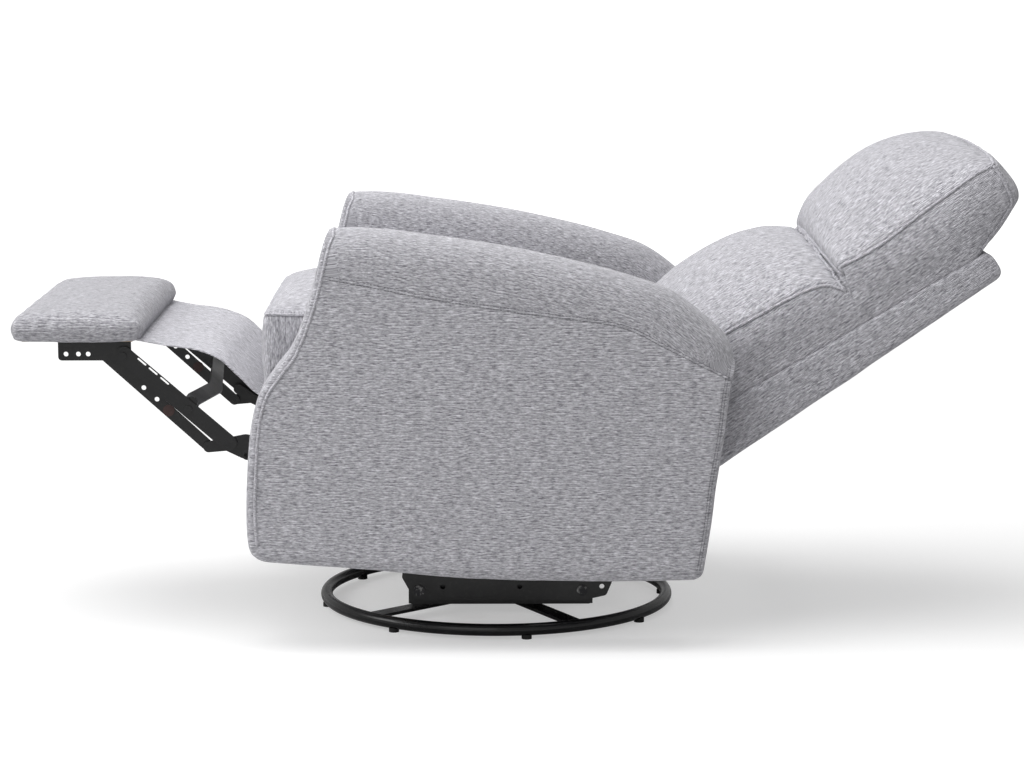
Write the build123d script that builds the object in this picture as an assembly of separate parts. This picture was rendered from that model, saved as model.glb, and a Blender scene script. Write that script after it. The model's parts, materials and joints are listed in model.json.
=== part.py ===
from build123d import *
import os
from math import atan2, cos, degrees, hypot, pi, radians, sin

# Swivel glider recliner, reclined with its footrest out. Millimetres, +Z up.
# The chair faces -Y and +X is its left side. The origin is on the floor under the swivel's axis.

os.makedirs("parts", exist_ok=True)

# Floor ring and swivel
RING_RADIUS = 277.5        # centre line of the ring's tube
RING_TUBE = 19.0
FOOT_COUNT = 8
FOOT_RADIUS = 8.0
FOOT_HEIGHT = 5.0
FOOT_SEAT = 1.5            # how far a foot's top wraps the tube
FOOT_TURN = 9.5
BASE_TURN = -10.0          # how far the base is turned on the floor
BASE_ARM_ANGLE = 38.0      # each base arm from the X axis
BASE_ARM_WIDTH = 28.0
BASE_ARM_THICK = 5.0
HUB_LENGTH = 190.0
HUB_WIDTH = 150.0
HUB_THICK = 5.0
RACE_RADIUS = 52.0         # circle of the bearing's balls
RACE_WIDTH = 24.0
RACE_THICK = 4.0
BALL_RADIUS = 3.2
BALL_COUNT = 12
RACE_GAP = 1.6
RUN = 0.12                 # radial running clearance of a pin in its hole

# Glider: links hang the chair from the turntable
LINK_LENGTH = 100.0        # between a swing link's pivots
LOWER_PIVOT_Z = 60.0
FRONT_SWING_Y = -122.0
REAR_SWING_Y = 134.0
HANGER_ROOM = 27.0         # from a hanger plate's inner face to a mechanism plate's
PLATE = 4.0                # glider and mechanism plates
SIDE_GAP = 2.0             # between neighbouring glider plates
SWING_LINK_WIDTH = 26.0
SWING_PIN_RADIUS = 5.0
PIN_HEAD_RADIUS = 8.5
PIN_HEAD = 2.5
CHANNEL_WIDTH = 34.0
CHANNEL_HEIGHT = 20.0
CHANNEL_WALL = 3.0
TURNTABLE_WIDTH = 150.0
TURNTABLE_THICK = 4.0
TURNTABLE_ROUND = 12.0
SIDE_PLATE_RISE = 16.0     # of a glider side plate above its upper pivots
SIDE_PLATE_WEB = 40.0      # height of a glider side plate between its pivots
PLATE_ROUND = 7.0
HANGER_FOOT = 16.0         # of a hanger plate below its pivots
HANGER_TOP_Z = 216.0
TUBE_RADIUS = 12.5
TUBE_BORE = 10.5
WINDOW_LENGTH = 110.0      # lightening windows in a mechanism plate
WINDOW_HEIGHT = 56.0
TUBE_Z = 198.0
FRONT_TUBE_Y = -100.0
REAR_TUBE_Y = 118.0

# Seat frame
MECH_ROOM = 46.0           # from a mechanism plate's inner face to the arm
RAIL_Z = 345.0             # underside of the wooden seat rails
RAIL_HEIGHT = 35.0
SIDE_RAIL_WIDTH = 30.0
FRONT_RAIL_Y = -318.0
FRONT_RAIL_DEPTH = 32.0
FRONT_RAIL_LIFT = 10.0     # leaves room for the folded linkage
REAR_RAIL_Y = 78.0
REAR_RAIL_DEPTH = 28.0
STRAP_COUNT = 5
STRAP_WIDTH = 46.0
STRAP_THICK = 2.0
DECK_REAR = (222.0, 320.0)
DECK_THICK = 4.0

# Upholstery
SIDE_CLEARANCE = 8.0       # between the seat cushion and an arm
ARM_THICK = 107.0
ARM_ROUND = 24.0           # roll of the arm's padded edges
ARM_CORNERS = [32.0, 28.0, 26.0, 26.0]
PANEL_THICK = 18.0
PANEL_INSET = 34.0
SOFT_GAP = 0.3
SEAT_HALF = 262.0          # half the width between the arms that the cushions fill
SEAT_FRONT_Y = -360.0
SEAT_REAR_Y = 112.0
SEAT_WELT_Z = 507.0
SEAT_CROWN = 39.0
SIDE_BULGE = 4.0
# Shapes of a cushion's ends, by distance from the end: how far the rim is drawn in, how far the sides are
# drawn in, and how high the crown stands over the welt
SEAT_FRONT = [(0, 12, 10, 4), (5, 4, 3, 10), (18, 0, 1, 20), (45, 0, 0, 31), (85, 0, 0, 37)]
SEAT_REAR = [(60, 0, 0, 35), (20, 0, 0, 24), (5, 4, 3, 14), (0, 12, 10, 8)]
ARM_CREST = [(-248, 645), (-96, 632), (107, 596), (259, 550), (330, 497), (361, 450)]
ARM_FRONT = [(-374, 142), (-376, 250), (-357, 395), (-287, 517), (-248, 645)]
ARM_REAR_MID = (343, 333)
ARM_REAR_FOOT = (310, 112)
ARM_BOTTOM_MID = (-30, 116)

# Footrest linkage, in the plane of the chair's side
LINK_PLATE = 3.0
LINK_GAP = 1.0
MAIN_PIVOT = (-215.0, 300.0)
CONTROL_PIVOT = (-287.5, 299.0)
CONTROL_BEND = (-387.0, 281.0)   # the control link is bent, to pass the cross bar as it folds
UPPER_KNEE = (-416.0, 300.0)
LOWER_KNEE = (-445.0, 296.0)
CONTROL_KNEE = (-438.0, 315.0)
UPPER_TOE = (-575.0, 438.0)
LOWER_TOE = (-601.6, 439.0)
LINK_END = 10.0            # radius of a link's ends
LOWER_KNEE_END = 8.5
LOWER_TOE_END = 9.5
MAIN_LINK_END = 13.0
MAIN_HEAD = (-388.0, 296.5)      # the main link's wide head beside its knees
MAIN_HEAD_RADIUS = 19.0
MAIN_NECK_RADIUS = 14.0
MAIN_HOLE = (-387.0, 283.0)
UPPER_LINK_RADIUS = 12.5
UPPER_LINK_SHIFT = 3.5     # the upper link stands this much above the line of its pivots
SLOT_PLACES = [137.0, 160.0, 182.5]    # along the upper link from its knee
SLOT_LENGTH = 17.0
SLOT_WIDTH = 3.0
SLOT_EDGE = 3.0            # from a slot's middle to the link's top edge
CONTROL_LINK_END = 8.0
CONTROL_LINK_BEND = 7.0
RIVET_RADIUS = 4.0
RIVET_HEAD_RADIUS = 6.5
RIVET_HEAD = 1.5
PUNCHED_RADIUS = 3.75
BRACKET_FRONT_Y = -674.0
BRACKET_REAR_Y = -562.0
BRACKET_HEIGHT = 30.0
BRACKET_ROUND = 6.0
BRACKET_REAR_ROUND = 9.0
BRACKET_HOLES = [-662.0, -643.0, -628.0]
BAR_PLACE = (-470.0, 366.0)
BAR_WIDTH = 24.0
BAR_THICK = 4.0
BAR_BOW = 20.0             # how far the bar's middle is bent towards the knees
BAR_END = 30.0             # straight length at each end
BAR_BOLT = (-475.5, 355.0)
BAR_TAB = 9.0              # radius of the tab that bolts the bar to a link
LOWER_HOLES = [(-544.0, 388.0), (-524.0, 370.0)]
BUMPER_PLACE = (-506.0, 352.5)
BUMPER_RADIUS = 9.0
BUMPER_NECK = 5.0
PAD_FRONT_Y = -744.0
PAD_REAR_Y = -543.0
PAD_BOTTOM_Z = 461.0
PAD_SIDE = 30.0
PAD_CROWN = 17.0
BOARD_THICK = 12.0
BOARD_INSET = 16.0
FLANGE_WIDTH = 24.0
FLANGE_INSET = 22.0
PAD_END = [(0, 11, 3), (5, 4, 7), (16, 0, 11), (45, 0, 15)]    # distance, sides drawn in, crown
FLAP_THICK = 4.0
FLAP_INSET = 10.0
FLAP_LINE = [(-542.5, 466), (-507, 461), (-454, 444), (-409, 415), (-375, 382), (-318, 366)]

# Back, in its own plane: along = up the back, deep = towards the sitter
BACK_FOOT = (345.0, 268.0)
BACK_ANGLE = 34.4
BACK_PIVOT = (230.0, 320.0)
SLAB_LOW = -58.0
SLAB_HIGH = 523.0
SLAB_DEEP_LOW = 85.0
SLAB_DEEP_HIGH = 45.0
SLAB_ROUND = 9.0
LUMBAR_LOW = 8.0
LUMBAR_LENGTH = 296.0
HEAD_LENGTH = 301.0
CUSHION_GAP = 6.0          # in the crease between the back's two cushions
# Shapes of the back's cushions, by distance from one end: welt, crown and how far the sides are drawn in
LUMBAR_FOOT = [(0, 130, 200, 12), (8, 142, 226, 3), (24, 156, 244, 0), (62, 164, 256, 0), (112, 168, 263, 0)]
LUMBAR_TOP = [(139, 164, 262, 0), (84, 154, 254, 0), (39, 147, 236, 0), (14, 138, 216, 1), (4, 128, 202, 4),
              (0, 118, 190, 10)]
HEAD_FOOT = [(0, 124, 180, 10), (6, 138, 198, 3), (25, 148, 220, 0), (55, 147, 234, 0), (95, 147, 244, 0),
             (140, 150, 249, 0)]
HEAD_TOP = [(111, 153, 246, 0), (66, 156, 232, 0), (36, 155, 215, 1), (11, 152, 188, 3), (0, 138, 160, 12)]
HEAD_OVERHANG = [(66, 54), (36, 66), (11, 80), (0, 100)]    # the underside past the slab's end
CUSHION_LIFT = 10.0        # of the underside at a cushion's rounded end
STILE_WIDTH = 24.0
STILE_DEEP = 30.0
STILE_TOP = 470.0
STILE_INSET = 20.0
FRAME_RAILS = [30.0, 240.0, 440.0]
FRAME_RAIL_WIDTH = 40.0
BRACKET_REACH = 150.0      # of a back bracket up its stile
BRACKET_FOOT = 50.0
BRACKET_PIVOT_END = 16.0
BRACKET_STILE_END = 14.0

# Release lever, in the gap beside the seat cushion on the right
LEVER_PIVOT = (-150.0, 362.0)
LEVER_THICK = 3.0
LEVER_TOP_Z = 534.0
LEVER_WIDTH = 24.0

RING_Z = FOOT_HEIGHT + RING_TUBE / 2
BASE_ARM_TOP = RING_Z + BASE_ARM_THICK / 2
HUB_TOP = BASE_ARM_TOP + HUB_THICK
RACE_TOP = HUB_TOP + RACE_THICK
UPPER_RACE_Z = RACE_TOP + RACE_GAP
TURNTABLE_Z = UPPER_RACE_Z + RACE_THICK
CHANNEL_Z = TURNTABLE_Z + TURNTABLE_THICK
UPPER_PIVOT_Z = LOWER_PIVOT_Z + LINK_LENGTH
ARM_INNER_X = SEAT_HALF + SIDE_CLEARANCE
BACK_HALF = SEAT_HALF
FLAP_HALF = SEAT_HALF - FLAP_INSET
MECH_X = ARM_INNER_X - MECH_ROOM
HANGER_X = MECH_X - HANGER_ROOM
BACK_PLATE_X = MECH_X + PLATE + LINK_GAP
SWING_X = HANGER_X - SIDE_GAP - PLATE
SIDE_PLATE_X = SWING_X - SIDE_GAP - PLATE
RAIL_TOP = RAIL_Z + RAIL_HEIGHT
SEAT_BOTTOM = RAIL_TOP + STRAP_THICK
CONTROL_X = MECH_X + PLATE + LINK_GAP
LOWER_X = CONTROL_X + LINK_PLATE + LINK_GAP
MAIN_X = LOWER_X + LINK_PLATE + LINK_GAP
UPPER_X = MAIN_X + LINK_PLATE + LINK_GAP
BRACKET_BOTTOM = PAD_BOTTOM_Z - BRACKET_HEIGHT
LEVER_X = -(SEAT_HALF + ARM_INNER_X + LEVER_THICK) / 2
HEAD_LOW = LUMBAR_LOW + LUMBAR_LENGTH + CUSHION_GAP
UPPER_LINK_LENGTH = hypot(UPPER_TOE[0] - UPPER_KNEE[0], UPPER_TOE[1] - UPPER_KNEE[1])
UPPER_LINK_DIRECTION = ((UPPER_TOE[0] - UPPER_KNEE[0]) / UPPER_LINK_LENGTH,
                        (UPPER_TOE[1] - UPPER_KNEE[1]) / UPPER_LINK_LENGTH)


def save(name, *solids):
    """Write one named piece, which may be a group of separate solids."""
    shape = solids[0] if len(solids) == 1 else Compound(list(solids))
    shape.label = name
    export_step(shape, f"parts/{name}.step")


def save_pair(name, *solids):
    """Write a left piece and its mirrored right piece."""
    save(name + "_left", *solids)
    save(name + "_right", *[mirror(s, about=Plane.YZ) for s in solids])


def both(solid):
    return [solid, mirror(solid, about=Plane.YZ)]


def side_plate(face, x, thick):
    """Extrude a sketch, drawn as (Y, Z), from x towards +X."""
    return extrude(Plane.YZ.offset(x) * face, thick)


def disc(place, radius, x, thick):
    """A round bar across the chair, from x towards +X."""
    return side_plate(Pos(*place) * Circle(radius), x, thick)


def link_face(start, end, radius_start, radius_end):
    """A link's outline: two round ends and the tangent sides between them."""
    ends = Pos(*start) * Circle(radius_start) + Pos(*end) * Circle(radius_end)
    return make_hull(ends.edges())


def hole(place, radius, x, thick):
    return disc(place, radius, x - 1, thick + 2)


def back_point(along, deep):
    """A point of the back's own plane as (Y, Z)."""
    turn = radians(BACK_ANGLE)
    return (BACK_FOOT[0] + along * cos(turn) - deep * sin(turn),
            BACK_FOOT[1] + along * sin(turn) + deep * cos(turn))


def back_plane(along):
    """The plane across the back at a place along it: x is the chair's X, y is deep."""
    turn = radians(BACK_ANGLE)
    origin = (0, *back_point(along, 0))
    return Plane(origin, x_dir=(1, 0, 0), z_dir=(0, -cos(turn), -sin(turn)))


def crowned_section(half, low, side, crown, bulge):
    """A cushion's cross-section: flat underside, swelling sides and a crowned top."""
    inset = 2 * bulge
    corners = [(-half + inset, low), (half - inset, low), (half - bulge, side), (-half + bulge, side)]
    middle = (low + side) / 2
    return make_face([
        Line(corners[0], corners[1]),
        ThreePointArc(corners[1], (half, middle), corners[2]),
        ThreePointArc(corners[2], (0, crown), corners[3]),
        ThreePointArc(corners[3], (-half, middle), corners[0]),
    ])


def cushion(planes, sections):
    """Loft a cushion through its cross-sections."""
    return loft([plane * crowned_section(*size) for plane, size in zip(planes, sections)], ruled=True)


def make_base():
    """Floor ring, base arms, hub plate, feet and the fixed bearing race."""
    ring = Pos(0, 0, RING_Z) * Torus(RING_RADIUS, RING_TUBE / 2)
    save("base_ring", ring)
    arm_angles = [BASE_TURN + side for side in
                  (BASE_ARM_ANGLE, 180 - BASE_ARM_ANGLE, 180 + BASE_ARM_ANGLE, -BASE_ARM_ANGLE)]
    hub_place = Rot(0, 0, BASE_TURN)
    core = hub_place * Box(HUB_LENGTH / 2, HUB_WIDTH / 2, BASE_ARM_THICK)
    core = Pos(0, 0, RING_Z) * core
    arms = []
    for angle in arm_angles:
        reach = Pos(RING_RADIUS / 2, 0, RING_Z) * Box(RING_RADIUS, BASE_ARM_WIDTH, BASE_ARM_THICK)
        arms.append(Rot(0, 0, angle) * reach - ring - core)
    save("base_arms", *[a.solids().sort_by(SortBy.VOLUME)[-1] for a in arms])
    hub = Pos(0, 0, BASE_ARM_TOP + HUB_THICK / 2) * hub_place * Box(HUB_LENGTH, HUB_WIDTH, HUB_THICK)
    hub = fillet(hub.edges().filter_by(Axis.Z), 14) + core
    save("hub_plate", hub)
    feet = []
    for index in range(FOOT_COUNT):
        turn = radians(FOOT_TURN + 360 / FOOT_COUNT * index)
        place = Pos(RING_RADIUS * cos(turn), RING_RADIUS * sin(turn), (FOOT_HEIGHT + FOOT_SEAT) / 2)
        feet.append(place * Cylinder(FOOT_RADIUS, FOOT_HEIGHT + FOOT_SEAT) - ring)
    save("ring_feet", *feet)


def race(z, groove_z):
    """A bearing race: a flat ring with a groove for the balls."""
    outer, inner = RACE_RADIUS + RACE_WIDTH / 2, RACE_RADIUS - RACE_WIDTH / 2
    ring = Cylinder(outer, RACE_THICK) - Cylinder(inner, RACE_THICK)
    return Pos(0, 0, z + RACE_THICK / 2) * ring - Pos(0, 0, groove_z) * Torus(RACE_RADIUS, BALL_RADIUS + RUN)


def make_swivel():
    """Bearing and turntable: plate, cross channels and the plates that carry the swing links."""
    ball_z = RACE_TOP + RACE_GAP / 2
    save("bearing_lower_race", race(HUB_TOP, ball_z))
    save("bearing_upper_race", race(UPPER_RACE_Z, ball_z))
    turns = [2 * pi * index / BALL_COUNT for index in range(BALL_COUNT)]
    save("bearing_balls", *[Pos(RACE_RADIUS * cos(t), RACE_RADIUS * sin(t), ball_z) * Sphere(BALL_RADIUS)
                            for t in turns])
    low_y = FRONT_SWING_Y - CHANNEL_WIDTH / 2
    high_y = REAR_SWING_Y + CHANNEL_WIDTH / 2
    length = high_y - low_y
    plate = Pos(0, (low_y + high_y) / 2, TURNTABLE_Z + TURNTABLE_THICK / 2) * Box(
        TURNTABLE_WIDTH, length, TURNTABLE_THICK)
    plate = fillet(plate.edges().filter_by(Axis.Z), TURNTABLE_ROUND)
    save("turntable_plate", plate - Pos(0, 0, TURNTABLE_Z) * Cylinder(RACE_RADIUS / 2, 3 * TURNTABLE_THICK))
    for name, y in (("front", FRONT_SWING_Y), ("rear", REAR_SWING_Y)):
        outer = Box(2 * SIDE_PLATE_X, CHANNEL_WIDTH, CHANNEL_HEIGHT)
        inner_width = CHANNEL_WIDTH - 2 * CHANNEL_WALL
        inner = Pos(0, 0, CHANNEL_WALL) * Box(2 * SIDE_PLATE_X, inner_width, CHANNEL_HEIGHT)
        save(f"cross_channel_{name}", Pos(0, y, CHANNEL_Z + CHANNEL_HEIGHT / 2) * (outer - inner))
    rise, dip = UPPER_PIVOT_Z + SIDE_PLATE_RISE, CHANNEL_Z + SIDE_PLATE_WEB
    outline = Polyline(
        (low_y, CHANNEL_Z), (high_y, CHANNEL_Z),
        (REAR_SWING_Y + SIDE_PLATE_RISE, rise), (REAR_SWING_Y - SIDE_PLATE_RISE, rise),
        (REAR_SWING_Y - 3 * SIDE_PLATE_RISE, dip), (FRONT_SWING_Y + 3 * SIDE_PLATE_RISE, dip),
        (FRONT_SWING_Y + SIDE_PLATE_RISE, rise), (FRONT_SWING_Y - SIDE_PLATE_RISE, rise), close=True)
    face = make_face(outline)
    face = fillet(face.vertices(), PLATE_ROUND)
    save_pair("glider_side_plate", side_plate(face, SIDE_PLATE_X, PLATE))
    pin_x = SIDE_PLATE_X + PLATE
    pins = []
    for y in (FRONT_SWING_Y, REAR_SWING_Y):
        pin = disc((y, UPPER_PIVOT_Z), SWING_PIN_RADIUS, pin_x, SIDE_GAP + PLATE)
        washer = disc((y, UPPER_PIVOT_Z), PIN_HEAD_RADIUS, pin_x, SIDE_GAP - SOFT_GAP)
        pins += both(pin + washer)
    save("upper_swing_pins", *pins)
    for name, y in (("front", FRONT_SWING_Y), ("rear", REAR_SWING_Y)):
        low, high = (y, LOWER_PIVOT_Z), (y, UPPER_PIVOT_Z)
        link = side_plate(link_face(low, high, SWING_LINK_WIDTH / 2, SWING_LINK_WIDTH / 2), SWING_X, PLATE)
        for place in (low, high):
            link -= hole(place, SWING_PIN_RADIUS + RUN, SWING_X, PLATE)
        save_pair(f"{name}_swing_link", link)


def make_chassis_frame():
    """Hanger plates, tubes, mechanism plates and the wooden seat frame."""
    foot = LOWER_PIVOT_Z - HANGER_FOOT
    face = make_face(Polyline(
        (FRONT_SWING_Y - 27, LOWER_PIVOT_Z + 21), (FRONT_SWING_Y - 11, foot + 8), (FRONT_SWING_Y + 8, foot),
        (REAR_SWING_Y + 2, foot), (REAR_SWING_Y + 38, foot + 8), (REAR_SWING_Y + 50, LOWER_PIVOT_Z + 21),
        (REAR_TUBE_Y + 34, HANGER_TOP_Z), (FRONT_TUBE_Y - 34, HANGER_TOP_Z), close=True))
    face = fillet(face.vertices(), PLATE_ROUND)
    hanger = side_plate(face, HANGER_X, PLATE)
    tube_places = [(FRONT_TUBE_Y, TUBE_Z), (REAR_TUBE_Y, TUBE_Z)]
    for place in tube_places:
        hanger -= hole(place, TUBE_RADIUS, HANGER_X, PLATE)
    for y, radius in ((FRONT_SWING_Y + 37, 4), (REAR_SWING_Y + 31, 4), (36, 4)):
        hanger -= hole((y, LOWER_PIVOT_Z + 6), radius, HANGER_X, PLATE)
    save_pair("hanger_plate", hanger)
    pins = []
    for y in (FRONT_SWING_Y, REAR_SWING_Y):
        place = (y, LOWER_PIVOT_Z)
        pin = disc(place, SWING_PIN_RADIUS, SWING_X, PLATE + SIDE_GAP)
        pins += both(pin + disc(place, PIN_HEAD_RADIUS, HANGER_X - SIDE_GAP + SOFT_GAP, SIDE_GAP - SOFT_GAP))
        pins += both(disc(place, PIN_HEAD_RADIUS, HANGER_X + PLATE, PIN_HEAD))
    save("lower_swing_pins", *pins)
    for name, place in zip(("front", "rear"), tube_places):
        tube = disc(place, TUBE_RADIUS, -MECH_X, 2 * MECH_X) - disc(place, TUBE_BORE, -MECH_X, 2 * MECH_X)
        save(f"cross_tube_{name}", tube)
    front_y = FRONT_RAIL_Y + FRONT_RAIL_DEPTH
    outline = Polyline(
        (front_y, RAIL_Z), (CONTROL_PIVOT[0] - 22, CONTROL_PIVOT[1] + 8),
        (CONTROL_PIVOT[0] - 12, CONTROL_PIVOT[1] - 16), (MAIN_PIVOT[0], MAIN_PIVOT[1] - 40),
        (FRONT_TUBE_Y - 34, TUBE_Z - 20), (REAR_TUBE_Y + 26, TUBE_Z - 20),
        (BACK_PIVOT[0] + 12, BACK_PIVOT[1] - 22), (BACK_PIVOT[0] + 18, BACK_PIVOT[1] + 10),
        (BACK_PIVOT[0] - 10, BACK_PIVOT[1] + 20), (REAR_RAIL_Y + REAR_RAIL_DEPTH, RAIL_Z), close=True)
    face = fillet(make_face(outline).vertices(), 8)
    plate = side_plate(face, MECH_X, PLATE)
    for middle in (FRONT_TUBE_Y + WINDOW_LENGTH / 4, REAR_TUBE_Y - WINDOW_LENGTH / 2):
        window = RectangleRounded(WINDOW_LENGTH, WINDOW_HEIGHT, WINDOW_HEIGHT / 3)
        plate -= side_plate(Pos(middle, (TUBE_Z + RAIL_Z) / 2) * window, MECH_X - 1, PLATE + 2)
    save_pair("mechanism_plate", plate)
    rail_y = (front_y, REAR_RAIL_Y)
    rail = Box(SIDE_RAIL_WIDTH, rail_y[1] - rail_y[0], RAIL_HEIGHT)
    rail_x = MECH_X + PLATE - SIDE_RAIL_WIDTH / 2
    save_pair("seat_rail", Pos(rail_x, (rail_y[0] + rail_y[1]) / 2, RAIL_Z + RAIL_HEIGHT / 2) * rail)
    front_height = RAIL_HEIGHT - FRONT_RAIL_LIFT
    front = Pos(0, FRONT_RAIL_Y + FRONT_RAIL_DEPTH / 2, RAIL_TOP - front_height / 2) * Box(
        2 * ARM_INNER_X, FRONT_RAIL_DEPTH, front_height)
    save("front_rail", front)
    rear = Pos(0, REAR_RAIL_Y + REAR_RAIL_DEPTH / 2, RAIL_Z + RAIL_HEIGHT / 2) * Box(
        2 * ARM_INNER_X, REAR_RAIL_DEPTH, RAIL_HEIGHT)
    save("rear_rail", rear)
    deck_front, deck_rear = (REAR_RAIL_Y + REAR_RAIL_DEPTH, RAIL_TOP - 8), DECK_REAR
    deck = make_face(Polyline(deck_front, deck_rear, (deck_rear[0], deck_rear[1] - DECK_THICK),
                              (deck_front[0], deck_front[1] - DECK_THICK), close=True))
    save("seat_deck", side_plate(deck, -MECH_X, 2 * MECH_X))
    pitch = (REAR_RAIL_Y - front_y) / STRAP_COUNT
    straps = []
    for index in range(STRAP_COUNT):
        place = Pos(0, front_y + pitch * (index + 0.5), RAIL_TOP + STRAP_THICK / 2)
        straps.append(place * Box(2 * (MECH_X + PLATE), STRAP_WIDTH, STRAP_THICK))
    save("seat_webbing", *straps)


def arm_outline():
    edges = [Spline(*ARM_CREST), ThreePointArc(ARM_CREST[-1], ARM_REAR_MID, ARM_REAR_FOOT),
             ThreePointArc(ARM_REAR_FOOT, ARM_BOTTOM_MID, ARM_FRONT[0]), Spline(*ARM_FRONT)]
    face = make_face(edges)
    corners = (ARM_FRONT[0], ARM_REAR_FOOT, ARM_CREST[-1], ARM_CREST[0])
    for point, radius in zip(corners, ARM_CORNERS):
        corner = face.vertices().sort_by_distance(Vector(*point, 0))[0]
        face = fillet(corner, radius)
    return face


def make_arms():
    """Padded arms, each over a plywood panel."""
    arm = side_plate(arm_outline(), ARM_INNER_X, ARM_THICK)
    flats = (ARM_INNER_X, ARM_INNER_X + ARM_THICK)

    def on_flat(edge):
        box = edge.bounding_box()
        return box.size.X < 0.01 and any(abs(box.min.X - x) < 0.01 for x in flats)

    arm = fillet([e for e in arm.edges() if on_flat(e)], ARM_ROUND)
    panel_face = offset(make_face([Polyline(
        *ARM_FRONT, *ARM_CREST[1:], ARM_REAR_MID, ARM_REAR_FOOT, close=True)]), -PANEL_INSET)
    middle = ARM_INNER_X + (ARM_THICK - PANEL_THICK) / 2
    panel = side_plate(panel_face, middle, PANEL_THICK)
    save_pair("arm_panel", panel)
    save_pair("arm_cover", arm - panel)


def make_seat():
    """Seat cushion with a crowned top and a soft front edge."""
    rows = [(SEAT_FRONT_Y + away, *shape) for away, *shape in SEAT_FRONT]
    rows += [((SEAT_FRONT_Y + SEAT_REAR_Y) / 2, 0, 0, SEAT_CROWN)]
    rows += [(SEAT_REAR_Y - away, *shape) for away, *shape in SEAT_REAR]
    planes = [Plane((0, y, 0), x_dir=(1, 0, 0), z_dir=(0, -1, 0)) for y, rim, pull, crown in rows]
    sections = [(SEAT_HALF - pull, SEAT_BOTTOM + rim / 2, SEAT_WELT_Z - rim, SEAT_WELT_Z + crown - rim,
                 SIDE_BULGE) for y, rim, pull, crown in rows]
    save("seat_cushion", cushion(planes, sections))
    line = Spline(*FLAP_LINE)
    upper = [(y, z + FLAP_THICK) for y, z in FLAP_LINE]
    top = Spline(*upper)
    face = make_face([line, Line(FLAP_LINE[-1], upper[-1]), top, Line(upper[0], FLAP_LINE[0])])
    save("footrest_flap", side_plate(face, -FLAP_HALF, 2 * FLAP_HALF))


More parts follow.
